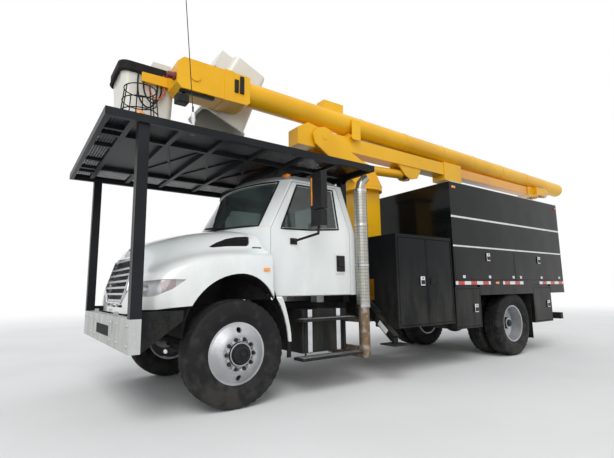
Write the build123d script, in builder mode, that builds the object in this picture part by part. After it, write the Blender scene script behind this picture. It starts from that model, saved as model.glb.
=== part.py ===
"""Forestry bucket truck: two-axle chassis, chip body and an articulated boom with two buckets.

Millimetres. +X points forward, +Y to the driver's side, +Z up, and the tyres stand on z = 0.
The origin is on the ground, halfway between the canopy's front edge and the upper boom's tail.
Distances along the truck are given from the front axle: at(-1000) is a metre behind it.
"""
import os
from math import atan, cos, radians, sin

from build123d import *

os.makedirs("parts", exist_ok=True)

# Overall lengths
canopy_overhang = 1310.0
tail_reach = 10120.0
front_axle_x = (tail_reach - canopy_overhang) / 2


def at(from_axle):
    """Model X of a place given from the front axle, forward positive."""
    return front_axle_x + from_axle


# Wheels and axles
wheelbase = 5100.0
tyre_radius = 522.0
tyre_width = 280.0
bead_radius = 290.0
flange_radius = 300.0
rim_width = 210.0
rim_wall = 12.0
front_wheel_y = 1016.0
rear_outer_y = 1048.0
dual_spacing = 330.0
dish = 160.0
disc_wall = 14.0
stud_count = 10
stud_circle = 143.0
stud_radius = 15.0
hand_holes = 2
kingpin_y = 870.0
kingpin_radius = 24.0
spindle_radius = 40.0
pivot_play = 0.05
seat_gap = 0.3
rear_axle_x = at(-wheelbase)
rear_inner_y = rear_outer_y - dual_spacing
rear_disc_y = (rear_outer_y + rear_inner_y) / 2
front_disc_y = front_wheel_y + dish

# Frame rails
rail_outer_y = 432.0
rail_flange = 85.0
rail_web = 12.0
rail_bottom = 700.0
rail_top = 960.0
rail_front = at(890.0)
rail_rear = at(-6990.0)

# Front bumper and canopy
bumper_face = at(1027.0)
bumper_depth = 95.0
bumper_half = 1210.0
bumper_bottom = 613.0
bumper_top = 901.0
bumper_plate = 12.0
post_size = 95.0
canopy_front = at(canopy_overhang)
canopy_rear = at(-1860.0)
canopy_half = 1240.0
canopy_top = 2695.0
canopy_rim = 75.0
canopy_rim_wall = 45.0
canopy_beam = 50.0
canopy_panel = 6.0
plate_half = 640.0
rear_post_x = at(-1812.0)
rear_post_y = 632.0

# Cab
cab_half = 1010.0
cab_roof_half = 905.0
cab_floor = 1057.0
cab_belt = 1815.0
cab_head = 2440.0
cab_roof = 2525.0
cab_cowl_side = at(-434.0)
cab_cowl_centre = at(-70.0)
cab_pillar_top_side = at(-784.0)
cab_pillar_top_centre = at(-430.0)
cab_back = at(-1690.0)
cab_back_top = at(-1560.0)
cab_crown = 120.0
cab_wall = 50.0
seal_lip = 8.0
cab_shell_wall = cab_wall + seal_lip
door_front = at(-449.0)
door_rear = at(-1597.0)
door_gap = 6.0
rear_door_gap = 8.0
head_door_gap = 12.0
glass_depth = 18.0
glass_thickness = 6.0

# Hood, grille and headlights
hood_front = at(925.0)
hood_wall = 25.0
hood_gap = 8.0
hood_bottom = 913.0
fender_bottom = 970.0
hood_hinge_x = at(1000.0)
hood_hinge_z = 925.0
hood_pin = 12.0

# Pedestal and turntable
pedestal_x = at(-2795.0)
pedestal_base = 620.0
pedestal_neck = 420.0
ring_radius = 340.0
ring_bottom = 2700.0
ring_mid = 2750.0
ring_top = 2803.0

# Cross box and cabinets beside the pedestal
cabinet_front = at(-2213.0)
cabinet_rear = at(-3400.0)
cabinet_half = 1220.0
cabinet_bottom = 621.0
cabinet_top = 1850.0
cabinet_depth = 420.0
cabinet_wall = 30.0
cross_bottom = 1270.0
panel_gap = 5.0

# Chip body
body_front = at(-3455.0)
body_rear = at(-6965.0)
body_half = 1220.0
body_bottom = 1170.0
body_top = 2734.0
body_wall = 50.0
pack_top = 1742.0
pack_bottom = 1240.0
pack_depth = 440.0
skirt_bottom = 1010.0
skirt_wall = 14.0
door_wall = 30.0

# Booms
lower_pivot_x = at(-1900.0)
lower_pivot_z = 3440.0
lower_width = 250.0
lower_height = 240.0
lower_head_x = at(-1436.0)
collar_front = at(-4900.0)
collar_rear = at(-5450.0)
insert_width = 210.0
insert_height = 190.0
insert_end = at(-8300.0)
elbow_x = at(-8900.0)
elbow_z = 3440.0
elbow_pin_radius = 45.0
cheek_inner = 150.0
cheek_wall = 30.0
yoke_inner = 205.0
yoke_wall = 25.0
sheave_radius = 120.0
sheave_inner = 140.0
sheave_wall = 45.0
lug_inner = 55.0
lug_wall = 40.0
tube_radius = 169.0
tube_bore = 155.0
tip_wall = 15.0
tube_front = at(-560.0)
tube_front_z = 3847.0
tube_rear_z = 3691.0
tube_rear = at(-tail_reach)
tube_slope = (tube_front_z - tube_rear_z) / (tube_front - tube_rear)
tip_front = at(380.0)
tip_rear = at(-617.0)
tip_half = 180.0
tip_top = 4012.0
tip_bottom = 3600.0
cradle_x = at(-2540.0)
cradle_length = 180.0

# Lift cylinder
barrel_base_x = at(-2300.0)
barrel_base_z = 3100.0
rod_eye_x = at(-3950.0)
rod_eye_z = 3190.0
barrel_radius = 80.0
barrel_length = 1480.0
rod_radius = 45.0
eye_radius = 70.0
cylinder_pin = 35.0

# Buckets
shaft_x = at(150.0)
shaft_z = 3800.0
shaft_radius = 45.0
arm_inner = 195.0
arm_wall = 30.0
bucket_near_y = -255.0
bucket_width = 610.0
bucket_length = 620.0
bucket_rim_length = 700.0
bucket_height = 1040.0
bucket_wall = 12.0
bucket_taper = 50.0
bucket_corner = 90.0
rim_flange = 25.0
front_bucket_x = at(590.0)
front_bucket_rim = 3974.0
tilt_pin_x = at(-450.0)
tilt_pin_z = 3850.0
rear_bucket_angle = 156.0
rear_bucket_base_x = at(-867.0)
rear_bucket_base_z = 4455.0

# Outriggers: a leg slides down and outwards in its housing
outrigger_x = at(-2090.0)
leg_size = 90.0
leg_length = 1350.0
leg_slope = 40.0
foot_y = 1250.0
foot_z = 515.0
housing_wall = 18.0
housing_top = 1005.0
housing_bottom = 400.0
pad_size = 260.0
pad_thickness = 20.0

# Exhaust and steps
stack_x = at(-1722.0)
stack_y = 1100.0
stack_radius = 82.0
pipe_radius = 68.0


def tube_axis_z(x):
    """Height of the upper boom's axis at a station."""
    return tube_front_z + (x - tube_front) * tube_slope


def bar(x0, x1, y0, y1, z0, z1, mode=Mode.ADD):
    """A rectangular block between two corners."""
    with Locations(((x0 + x1) / 2, (y0 + y1) / 2, (z0 + z1) / 2)):
        Box(abs(x1 - x0), abs(y1 - y0), abs(z1 - z0), mode=mode)


def side_slab(points, y0, y1, mode=Mode.ADD):
    """A side-view outline of (x, z) points, filled from one y to the other."""
    low, high = min(y0, y1), max(y0, y1)
    with BuildSketch(Plane.XZ.offset(-high)) as outline:
        with BuildLine():
            Polyline(*points, close=True)
        make_face()
    extrude(outline.sketch, amount=high - low, mode=mode)


def plan_slab(points, z0, z1, mode=Mode.ADD):
    """A plan-view outline of (x, y) points, filled from one height to the other."""
    with BuildSketch(Plane.XY.offset(z0)) as outline:
        with BuildLine():
            Polyline(*points, close=True)
        make_face()
    extrude(outline.sketch, amount=z1 - z0, mode=mode)


def front_slab(points, x0, x1, mode=Mode.ADD):
    """A front-view outline of (y, z) points, filled from one x to a larger one."""
    with BuildSketch(Plane.YZ.offset(x0)) as outline:
        with BuildLine():
            Polyline(*points, close=True)
        make_face()
    extrude(outline.sketch, amount=x1 - x0, mode=mode)


def rod(start, end, radius, mode=Mode.ADD):
    """A round bar from one point to another."""
    run = Vector(*end) - Vector(*start)
    with BuildSketch(Plane(origin=start, z_dir=run)) as section:
        Circle(radius)
    extrude(section.sketch, amount=run.length, mode=mode)


def leg_box(side, top, bottom, size, mode=Mode.ADD):
    """A square bar on an outrigger leg's line, between two distances up from its foot."""
    slope = radians(leg_slope)
    outward = Vector(0, side * cos(slope), -sin(slope))
    start = Vector(outrigger_x, side * foot_y, foot_z) - outward * top
    with BuildSketch(Plane(origin=start, x_dir=(1, 0, 0), z_dir=outward)) as section:
        Rectangle(size, size)
    extrude(section.sketch, amount=top - bottom, mode=mode)


def save(builder, name):
    """Label a finished piece and write it."""
    builder.part.label = name
    export_step(builder.part, f"parts/{name}.step")


# Frame: two channel rails, their crossmembers and the housings of the outriggers
cross_stations = (at(820.0), at(-1180.0), at(-3100.0), at(-4300.0), at(-5900.0), rail_rear + 60.0)
cross_bottom_z = 850.0
with BuildPart() as frame:
    for side in (1, -1):
        channel = (
            (side * rail_outer_y, rail_bottom), (side * rail_outer_y, rail_top),
            (side * (rail_outer_y - rail_flange), rail_top),
            (side * (rail_outer_y - rail_flange), rail_top - rail_web),
            (side * (rail_outer_y - rail_web), rail_top - rail_web),
            (side * (rail_outer_y - rail_web), rail_bottom + rail_web),
            (side * (rail_outer_y - rail_flange), rail_bottom + rail_web),
            (side * (rail_outer_y - rail_flange), rail_bottom),
        )
        front_slab(channel, rail_rear, rail_front)
    for station in cross_stations:
        bar(station - 40, station + 40, -(rail_outer_y - rail_web), rail_outer_y - rail_web,
            cross_bottom_z, rail_top - rail_web)
    bar(outrigger_x - 60, outrigger_x + 60, -560, 560, rail_top, rail_top + 90)
    for side in (1, -1):
        bar(outrigger_x - 60, outrigger_x + 60, side * rail_outer_y, side * 620, 800, 1120)
        leg_box(side, housing_top, housing_bottom, leg_size + 2 * housing_wall)
    for side in (1, -1):
        leg_box(side, leg_length + 300, -100, leg_size + 2 * seat_gap, mode=Mode.SUBTRACT)
save(frame, "frame")

# Axles: the front beam with its king pin bosses and springs, the rear housing and its springs
boss_half = 70.0
boss_radius = 55.0
spring_y = 390.0
spring_width = 76.0
beam_z = 430.0
shaft_end_x = rear_axle_x + 330.0
shaft_end_z = tyre_radius + 30.0
with BuildPart() as axles:
    bar(at(-45), at(45), -(kingpin_y - 62), kingpin_y - 62, beam_z - 45, beam_z + 45)
    for side in (1, -1):
        rod((at(0), side * kingpin_y, tyre_radius - boss_half),
            (at(0), side * kingpin_y, tyre_radius + boss_half), boss_radius)
        bar(at(-45), at(45), side * (kingpin_y - 112), side * (kingpin_y - 62), beam_z - 45, tyre_radius + 60)
        bar(at(-45), at(45), side * (kingpin_y - 63), side * kingpin_y, tyre_radius - 60, tyre_radius + 60)
        rod((at(0), side * kingpin_y, 0), (at(0), side * kingpin_y, 1000),
            kingpin_radius + pivot_play, mode=Mode.SUBTRACT)
        for axle_x, seat in ((at(0), beam_z + 45), (rear_axle_x, tyre_radius + 90)):
            y0 = side * (spring_y - spring_width / 2)
            y1 = side * (spring_y + spring_width / 2)
            leaf = (
                (axle_x - 620, rail_bottom - 30), (axle_x - 560, rail_bottom - 30),
                (axle_x - 60, seat + 60), (axle_x + 60, seat + 60), (axle_x + 560, rail_bottom - 30),
                (axle_x + 620, rail_bottom - 30), (axle_x + 620, rail_bottom - 45),
                (axle_x + 560, rail_bottom - 60), (axle_x + 60, seat), (axle_x - 60, seat),
                (axle_x - 560, rail_bottom - 60), (axle_x - 620, rail_bottom - 45),
            )
            side_slab(leaf, y0, y1)
            for end in (-1, 1):
                bar(axle_x + end * 590 - 25, axle_x + end * 590 + 25, y0, y1, rail_bottom - 45, rail_bottom)
    rod((rear_axle_x, -rear_disc_y + 190, tyre_radius), (rear_axle_x, rear_disc_y - 190, tyre_radius), 75)
    rod((rear_axle_x, -rear_disc_y, tyre_radius), (rear_axle_x, rear_disc_y, tyre_radius), spindle_radius + 10)
    with Locations((rear_axle_x, 0, tyre_radius)):
        Sphere(215)
    rod((rear_axle_x, 0, shaft_end_z), (shaft_end_x, 0, shaft_end_z), 75)
    for side in (1, -1):
        bar(rear_axle_x - 60, rear_axle_x + 60, side * (spring_y - 45), side * (spring_y + 45),
            tyre_radius - 60, tyre_radius + 90)
save(axles, "axles")

# Drivetrain: the engine as one plain block, the gearbox and the shaft to the rear axle
with BuildPart() as drivetrain:
    bar(at(-380), at(560), -290, 290, 640, 1380)
    bar(at(-1080), at(-380), -200, 200, 640, 1000)
    rod((at(-1080), 0, 780), (shaft_end_x + 25, 0, shaft_end_z), 55)
    rod((shaft_end_x, 0, shaft_end_z), (shaft_end_x + 40, 0, shaft_end_z), 75)
    bar(at(640), at(700), -330, 330, 730, 1380)
    for side in (1, -1):
        bar(at(560), at(640), side * 150 - 25, side * 150 + 25, 800, 900)
        bar(at(80), at(180), side * 290, side * (rail_outer_y - rail_web), 800, 880)
save(drivetrain, "drivetrain")

# Wheels and tyres
bead_y = rim_width / 2 - rim_wall - 0.5
half_tyre = tyre_width / 2
tyre_half_profile = (
    (bead_y, bead_radius), (bead_y, flange_radius + 1), (rim_width / 2 + 4, flange_radius + 16),
    (half_tyre, bead_radius + 90), (half_tyre - 8, tyre_radius - 45),
    (half_tyre - 30, tyre_radius - 8), (half_tyre - 60, tyre_radius),
)
tyre_profile = tyre_half_profile + tuple((-y, r) for y, r in reversed(tyre_half_profile))


def tyre(axle_x, centre_y):
    """One tyre about the wheel's axis."""
    with BuildSketch(Plane.YZ.offset(axle_x)) as outline:
        with BuildLine():
            Polyline(*[(centre_y + y, tyre_radius + r) for y, r in tyre_profile], close=True)
        make_face()
    revolve(outline.sketch, axis=Axis((axle_x, 0, tyre_radius), (0, 1, 0)))


def rim(axle_x, centre_y, outward):
    """One disc wheel; outward is +1 or -1, the side its disc stands proud to."""
    half = rim_width / 2
    base = bead_radius - 0.3
    disc_y = centre_y + outward * dish
    profile = (
        (centre_y - outward * half, flange_radius), (centre_y - outward * (half - 10), flange_radius),
        (centre_y - outward * (half - 12), base), (centre_y + outward * (half - 12), base),
        (centre_y + outward * (half - 10), flange_radius), (centre_y + outward * half, flange_radius),
        (centre_y + outward * (half + 4), base - rim_wall), (disc_y - outward * 8, 200),
        (disc_y, 180), (disc_y, 60), (disc_y - outward * disc_wall, 60),
        (disc_y - outward * disc_wall, 175), (disc_y - outward * (disc_wall + 12), 190),
        (centre_y + outward * (half - 25), base - rim_wall), (centre_y - outward * (half - 4), base - rim_wall),
    )
    with BuildSketch(Plane.YZ.offset(axle_x)) as outline:
        with BuildLine():
            Polyline(*[(y, tyre_radius + r) for y, r in profile], close=True)
        make_face()
    revolve(outline.sketch, axis=Axis((axle_x, 0, tyre_radius), (0, 1, 0)))


front_hub_inner = 960.0
rear_hub_inner = rear_disc_y - 170.0
for side, name in ((1, "left"), (-1, "right")):
    with BuildPart() as front_wheel:
        rim(at(0), side * front_wheel_y, side)
        rod((at(0), side * front_hub_inner, tyre_radius), (at(0), side * (front_disc_y + 25), tyre_radius), 112)
        rod((at(0), side * front_disc_y, tyre_radius), (at(0), side * (front_disc_y + 55), tyre_radius), 80)
        rod((at(0), side * front_hub_inner, tyre_radius), (at(0), side * (front_disc_y - 20), tyre_radius),
            spindle_radius + pivot_play, mode=Mode.SUBTRACT)
        with Locations(Plane(origin=(at(0), side * front_disc_y, tyre_radius), z_dir=(0, side, 0))):
            with PolarLocations(stud_circle, stud_count):
                Cylinder(stud_radius, 30, align=(Align.CENTER, Align.CENTER, Align.MIN))
            with PolarLocations(225, hand_holes):
                Cylinder(28, 160, mode=Mode.SUBTRACT)
    save(front_wheel, f"front_wheel_{name}")
    with BuildPart() as front_tyre:
        tyre(at(0), side * front_wheel_y)
    save(front_tyre, f"front_tyre_{name}")
    with BuildPart() as rear_wheels:
        rim(rear_axle_x, side * rear_outer_y, -side)
        rim(rear_axle_x, side * rear_inner_y, side)
        rod((rear_axle_x, side * rear_hub_inner, tyre_radius), (rear_axle_x, side * (rear_disc_y + 120), tyre_radius), 130)
        rod((rear_axle_x, side * rear_disc_y, tyre_radius), (rear_axle_x, side * (rear_disc_y + 190), tyre_radius), 85)
        rod((rear_axle_x, side * (rear_hub_inner - 10), tyre_radius),
            (rear_axle_x, side * (rear_disc_y + 20), tyre_radius), spindle_radius + 10 + pivot_play, mode=Mode.SUBTRACT)
        with Locations(Plane(origin=(rear_axle_x, side * (rear_disc_y + disc_wall), tyre_radius), z_dir=(0, side, 0))):
            with PolarLocations(stud_circle, stud_count):
                Cylinder(stud_radius, 30, align=(Align.CENTER, Align.CENTER, Align.MIN))
        with Locations(Plane(origin=(rear_axle_x, side * rear_disc_y, tyre_radius), z_dir=(0, side, 0))):
            with PolarLocations(225, hand_holes):
                Cylinder(28, 160, mode=Mode.SUBTRACT)
    save(rear_wheels, f"rear_wheels_{name}")
    with BuildPart() as rear_tyres:
        tyre(rear_axle_x, side * rear_outer_y)
        tyre(rear_axle_x, side * rear_inner_y)
    save(rear_tyres, f"rear_tyres_{name}")
    with BuildPart() as knuckle:
        ear_low = tyre_radius - boss_half - seat_gap
        ear_high = tyre_radius + boss_half + seat_gap
        for z0, z1 in ((ear_low - 40, ear_low), (ear_high, ear_high + 40)):
            rod((at(0), side * kingpin_y, z0), (at(0), side * kingpin_y, z1), boss_radius)
            bar(at(-45), at(45), side * kingpin_y, side * (kingpin_y + 85), z0, z1)
        bar(at(-45), at(45), side * (kingpin_y + 62), side * (kingpin_y + 85), ear_low - 40, ear_high + 40)
        rod((at(0), side * kingpin_y, ear_low - 40), (at(0), side * kingpin_y, ear_high + 40), kingpin_radius)
        rod((at(0), side * (kingpin_y + 80), tyre_radius), (at(0), side * (front_disc_y - 25), tyre_radius),
            spindle_radius)
    save(knuckle, f"knuckle_{name}")

# Bumper: face plate, returns at the ends, tow slots, plate recess and the treaded corner steps
slot_y = 520.0
recess_half = 345.0
hood_arm_y = 526.0
with BuildPart() as bumper:
    bar(bumper_face - bumper_plate, bumper_face, -bumper_half, bumper_half, bumper_bottom, bumper_top)
    bar(bumper_face - bumper_depth, bumper_face, -bumper_half, bumper_half, bumper_top - bumper_plate, bumper_top)
    bar(bumper_face - bumper_depth, bumper_face, -bumper_half, bumper_half, bumper_bottom,
        bumper_bottom + bumper_plate)
    for side in (1, -1):
        bar(bumper_face - bumper_depth, bumper_face, side * (bumper_half - bumper_plate), side * bumper_half,
            bumper_bottom, bumper_top)
        bar(bumper_face - 60, bumper_face + 60, side * slot_y - 16, side * slot_y + 16,
            742, 860, mode=Mode.SUBTRACT)
        bar(rail_front - 60, bumper_face - bumper_plate, side * rail_outer_y, side * (rail_outer_y + 14),
            rail_bottom, bumper_top - bumper_plate)
        for ear_y in (hood_arm_y - 22, hood_arm_y + 22):
            bar(hood_hinge_x - 18, hood_hinge_x + 18, side * (ear_y - 6), side * (ear_y + 6),
                bumper_top, hood_hinge_z + 18)
        rod((hood_hinge_x, side * (hood_arm_y - 28), hood_hinge_z),
            (hood_hinge_x, side * (hood_arm_y + 28), hood_hinge_z), hood_pin)
    bar(bumper_face - 4, bumper_face + 4, -recess_half, recess_half, 690, 806, mode=Mode.SUBTRACT)
save(bumper, "bumper")

step_front = bumper_face - bumper_depth
step_rear = at(575.0)
with BuildPart() as corner_steps:
    for side in (1, -1):
        cheek = ((step_front, bumper_bottom), (step_front, 958), (step_rear, 958), (step_rear, 870))
        side_slab(cheek, side * (bumper_half - 8), side * bumper_half)
        bar(step_rear, step_front, side * 960, side * (bumper_half - 8), 892, 898)
        bar(step_front - 6, step_front, side * (rail_outer_y + 20), side * bumper_half, 700, 898)
save(corner_steps, "corner_steps")

# Canopy: perimeter channel, cross beams and deck on two front and two rear posts
beam_rows = (at(1060.0), at(620.0), at(160.0), at(-340.0), at(-840.0), at(-1340.0))
short_beams = (840.0, 285.0)
with BuildPart() as canopy_frame:
    for side in (1, -1):
        bar(canopy_rear, canopy_front, side * (canopy_half - canopy_rim_wall), side * canopy_half,
            canopy_top - canopy_rim, canopy_top)
        bar(canopy_rear, canopy_front, side * plate_half, side * (plate_half + canopy_beam),
            canopy_top - canopy_beam, canopy_top - canopy_panel)
        bar(bumper_face - post_size, bumper_face, side * (bumper_half - post_size), side * bumper_half,
            bumper_top, canopy_top - canopy_beam)
        for row_y in short_beams:
            bar(beam_rows[0], canopy_front, side * row_y - 20, side * row_y + 20,
                canopy_top - canopy_beam, canopy_top - canopy_panel)
    for x0, x1 in ((canopy_front - canopy_rim_wall, canopy_front), (canopy_rear, canopy_rear + canopy_rim_wall)):
        bar(x0, x1, -canopy_half, canopy_half, canopy_top - canopy_rim, canopy_top)
    for row in beam_rows:
        bar(row - canopy_beam / 2, row + canopy_beam / 2, -canopy_half + 10, canopy_half - 10,
            canopy_top - canopy_beam, canopy_top - canopy_panel)
    bar(canopy_rear + 10, canopy_front - 10, -canopy_half + 10, canopy_half - 10,
        canopy_top - canopy_panel, canopy_top)
    bar(rear_post_x - post_size / 2, rear_post_x + post_size / 2, -rear_post_y, rear_post_y,
        rail_top, rail_top + post_size)
    for side in (1, -1):
        bar(rear_post_x - post_size / 2, rear_post_x + post_size / 2, side * (rear_post_y - post_size / 2),
            side * (rear_post_y + post_size / 2), rail_top, canopy_top - canopy_panel)
        gusset = (
            (side * rear_post_y, canopy_top - 160), (side * (rear_post_y + 200), canopy_top - canopy_beam),
            (side * rear_post_y, canopy_top - canopy_beam),
        )
        front_slab(gusset, rear_post_x - 6, rear_post_x + 6)
save(canopy_frame, "canopy_frame")

# Warning beacon in its wire guard, on the canopy
beacon_x = at(960.0)
beacon_y = 900.0
beacon_radius = 70.0
beacon_height = 170.0
guard_foot = 190.0
guard_head = 150.0
guard_height = 375.0
guard_bars = 8
with BuildPart() as beacon_guard:
    for ring, ring_z in ((guard_foot, canopy_top), (guard_head, canopy_top + guard_height)):
        with Locations((beacon_x, beacon_y, ring_z)):
            Cylinder(ring + 7, 12, align=(Align.CENTER, Align.CENTER, Align.MIN))
            Cylinder(ring - 7, 12, align=(Align.CENTER, Align.CENTER, Align.MIN), mode=Mode.SUBTRACT)
    with Locations((beacon_x, beacon_y, canopy_top)):
        Cylinder(beacon_radius, beacon_height, align=(Align.CENTER, Align.CENTER, Align.MIN))
        Box(2 * guard_foot, 20, 6, align=(Align.CENTER, Align.CENTER, Align.MIN))
    for turn in range(guard_bars):
        angle = radians(360 / guard_bars * (turn + 0.5))
        foot = (beacon_x + guard_foot * cos(angle), beacon_y + guard_foot * sin(angle), canopy_top + 4)
        head = (beacon_x + guard_head * cos(angle), beacon_y + guard_head * sin(angle),
                canopy_top + guard_height + 6)
        rod(foot, head, 5)
save(beacon_guard, "beacon_guard")


def cab_outline(z, side_x, centre_x, back_x, half):
    """Plan section of the cab: straight sides and back, bowed front."""
    with BuildSketch(Plane.XY.offset(z)) as section:
        with BuildLine():
            Polyline((side_x, half), (back_x, half), (back_x, -half), (side_x, -half))
            ThreePointArc((side_x, -half), (centre_x, 0), (side_x, half))
        make_face()
    return section.sketch


def cab_block(inset, floor, roof, mode=Mode.ADD):
    """The cab's form, drawn in by a wall: body, bowed cowl, glasshouse and crowned roof."""
    half = cab_half - inset
    top_half = cab_roof_half - inset
    cowl_low = cowl_bottom + inset
    belt = cab_outline(cab_belt, cab_cowl_side - inset, cab_cowl_centre - inset, cab_back + inset, half)
    head = cab_outline(cab_head, cab_pillar_top_side - inset, cab_pillar_top_centre - inset,
                       cab_back_top + inset, top_half)
    crown = cab_outline(roof, cab_pillar_top_side - cab_crown - inset, cab_pillar_top_centre - cab_crown - inset,
                        cab_back_top + cab_crown + inset, top_half - cab_crown)
    cowl = cab_outline(cowl_low, cab_cowl_side - inset, cab_cowl_centre - inset, cab_back + inset, half)
    extrude(cowl, amount=cab_belt - cowl_low, mode=mode)
    loft([belt, head], mode=mode)
    loft([head, crown], mode=mode)
    bar(cab_back + inset, cab_cowl_side - inset, -half, half, floor, cowl_low + 2, mode=mode)


def door_shape(front, rear, head_rear, head, low):
    """Side view of a cab door, or of its opening when the gaps are positive."""
    return (
        (door_front + front, low), (door_front + front, cab_belt - 5),
        (at(-806.0) + front, door_head + head), (at(-1470.0) - head_rear, door_head + head),
        (door_rear - rear, cab_belt + 60), (door_rear - rear, low),
    )


def side_core(inset, x0, x1):
    """Takes away all that lies inside the cab's side walls, so that no front or back wall stays between them."""
    half = cab_half - inset
    top_half = cab_roof_half - inset
    low = cab_floor - 80
    outline = ((-half, low), (half, low), (half, cab_belt), (top_half, cab_head), (-top_half, cab_head),
               (-half, cab_belt))
    front_slab(outline, x0, x1, mode=Mode.SUBTRACT)


cowl_bottom = 1500.0
door_head = cab_head - 30
door_low = cab_floor + door_gap
door_outline = door_shape(0, 0, 0, 0, door_low)
opening_outline = door_shape(door_gap, rear_door_gap, head_door_gap, door_gap, cab_floor - 20)
seal_outline = door_shape(-20, -20, -20, -20, cab_floor + 85)
window_outline = (
    (at(-590.0), 1830.0), (at(-870.0), cab_head - 80), (at(-1398.0), cab_head - 80),
    (at(-1410.0), 1878.0), (at(-1000.0), 1840.0),
)
windshield_outline = ((-870.0, 1860.0), (870.0, 1860.0), (790.0, 2400.0), (-790.0, 2400.0))
back_window = ((-560.0, 1860.0), (560.0, 1860.0), (520.0, 2290.0), (-520.0, 2290.0))

with BuildPart() as door_layer:
    cab_block(-2, cab_floor - 60, cab_roof + 2)
    cab_block(cab_wall + seat_gap, cab_floor - 80, cab_roof - cab_wall, mode=Mode.SUBTRACT)
    side_slab(opening_outline, -1200, 1200, mode=Mode.INTERSECT)
    side_core(cab_wall + seat_gap, door_rear, door_front + door_gap + 1)

with BuildPart() as cab_shell:
    cab_block(0, cab_floor, cab_roof)
    cab_block(cab_shell_wall, cab_floor + cab_shell_wall, cab_roof - cab_shell_wall, mode=Mode.SUBTRACT)
    add(door_layer.part, mode=Mode.SUBTRACT)
    side_slab(seal_outline, -1200, 1200, mode=Mode.SUBTRACT)
    front_slab(windshield_outline, at(-900.0), at(0), mode=Mode.SUBTRACT)
    front_slab(back_window, cab_back - 50, cab_back + 300, mode=Mode.SUBTRACT)
    for side in (1, -1):
        for station in (at(-560.0), at(-1560.0)):
            bar(station - 60, station + 60, side * 300, side * rail_outer_y, rail_top, cab_floor)
save(cab_shell, "cab_shell")

with BuildPart() as front_glass:
    cab_block(glass_depth, cab_floor, cab_roof - glass_depth)
    cab_block(glass_depth + glass_thickness, cab_floor, cab_roof - glass_depth - glass_thickness,
              mode=Mode.SUBTRACT)
    front_slab(windshield_outline, at(-900.0), at(0), mode=Mode.INTERSECT)

with BuildPart() as cab_glass:
    cab_block(glass_depth, cab_floor, cab_roof - glass_depth)
    cab_block(glass_depth + glass_thickness, cab_floor, cab_roof - glass_depth - glass_thickness,
              mode=Mode.SUBTRACT)
    front_slab(back_window, cab_back - 50, cab_back + 300, mode=Mode.INTERSECT)
    add(front_glass.part)
save(cab_glass, "cab_glass")

# Doors with their glass and mirrors
mirror_x = at(-880.0)
mirror_y0 = 1225.0
mirror_y1 = 1425.0
mirror_arm = (mirror_x + 10, 1320, 1740)
for side, name in ((1, "left"), (-1, "right")):
    with BuildPart() as door:
        cab_block(0, cab_floor - 60, cab_roof)
        cab_block(cab_wall, cab_floor - 80, cab_roof - cab_wall, mode=Mode.SUBTRACT)
        side_slab(door_outline, side * 700, side * 1200, mode=Mode.INTERSECT)
        side_core(cab_wall, door_rear, door_front + 1)
        side_slab(window_outline, side * 700, side * 1200, mode=Mode.SUBTRACT)
        bar(at(-1494.0), at(-1354.0), side * (cab_half - 15), side * (cab_half + 18), 1316, 1559)
    save(door, f"door_{name}")
    with BuildPart() as door_glass:
        cab_block(glass_depth, cab_floor, cab_roof - glass_depth)
        cab_block(glass_depth + glass_thickness, cab_floor, cab_roof - glass_depth - glass_thickness,
                  mode=Mode.SUBTRACT)
        side_slab(window_outline, side * 700, side * 1200, mode=Mode.INTERSECT)
    save(door_glass, f"door_glass_{name}")
    elbow_point = (mirror_arm[0], side * mirror_arm[1], mirror_arm[2])
    with BuildPart() as mirror:
        bar(mirror_x - 42, mirror_x + 42, side * mirror_y0, side * mirror_y1, 2010, 2430)
        bar(mirror_x - 42, mirror_x + 42, side * (mirror_y0 + 8), side * (mirror_y1 - 8), 1820, 2000)
        bar(mirror_x - 12, mirror_x + 12, side * (mirror_y0 + 40), side * (mirror_y1 - 40), 1995, 2015)
        rod((at(-745), side * (cab_half + 11), 1676), elbow_point, 14)
        rod(elbow_point, (mirror_x, side * 1320, 1830), 14)
        with Locations(elbow_point):
            Sphere(14)
        bar(at(-790), at(-700), side * cab_half, side * (cab_half + 12), 1640, 1712)
    save(mirror, f"mirror_{name}")

# Cab interior: seats, dashboard and steering wheel
with BuildPart() as cab_interior:
    for seat_y in (480.0, -480.0):
        bar(at(-1500), at(-1050), seat_y - 240, seat_y + 240, cab_floor + cab_shell_wall, 1420)
        back = ((at(-1500), 1420), (at(-1380), 1420), (at(-1470), 2060), (at(-1540), 2060))
        side_slab(back, seat_y - 230, seat_y + 230)
    dash = (
        (at(-700), -925), (at(-515), -925), (at(-260), -560), (at(-175), 0), (at(-260), 560),
        (at(-515), 925), (at(-700), 925),
    )
    plan_slab(dash, cowl_bottom + cab_shell_wall, 1760)
    bar(at(-520), at(-500), 430, 530, cab_floor + cab_shell_wall, cowl_bottom + cab_shell_wall + 20)
    rod((at(-660), 480, 1600), (at(-900), 480, 1760), 30)
    with Locations(Plane(origin=(at(-900), 480, 1760), z_dir=(-240, 0, 160))):
        Torus(215, 16)
        Cylinder(60, 30)
        for spoke in (0, 120, 240):
            with Locations(Rotation(0, 0, spoke)):
                Box(215, 26, 14, align=(Align.MIN, Align.CENTER, Align.CENTER))
save(cab_interior, "cab_interior")

# Hood: a wall lofted through four stations, with the nose leaned back and its corners drawn in
hood_stations = (
    # x, crown height, top half width, top height, crease half width, crease height, side half width, side height
    (hood_front, 1592, 430, 1578, 900, 1290, 1030, 1215),
    (at(300), 1770, 520, 1755, 990, 1510, 1095, 1400),
    (at(100), 1800, 560, 1787, 1000, 1530, 1100, 1430),
    (at(-430), 1812, 660, 1798, 1010, 1535, 1100, 1440),
)
nose_break = 1180.0


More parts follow.
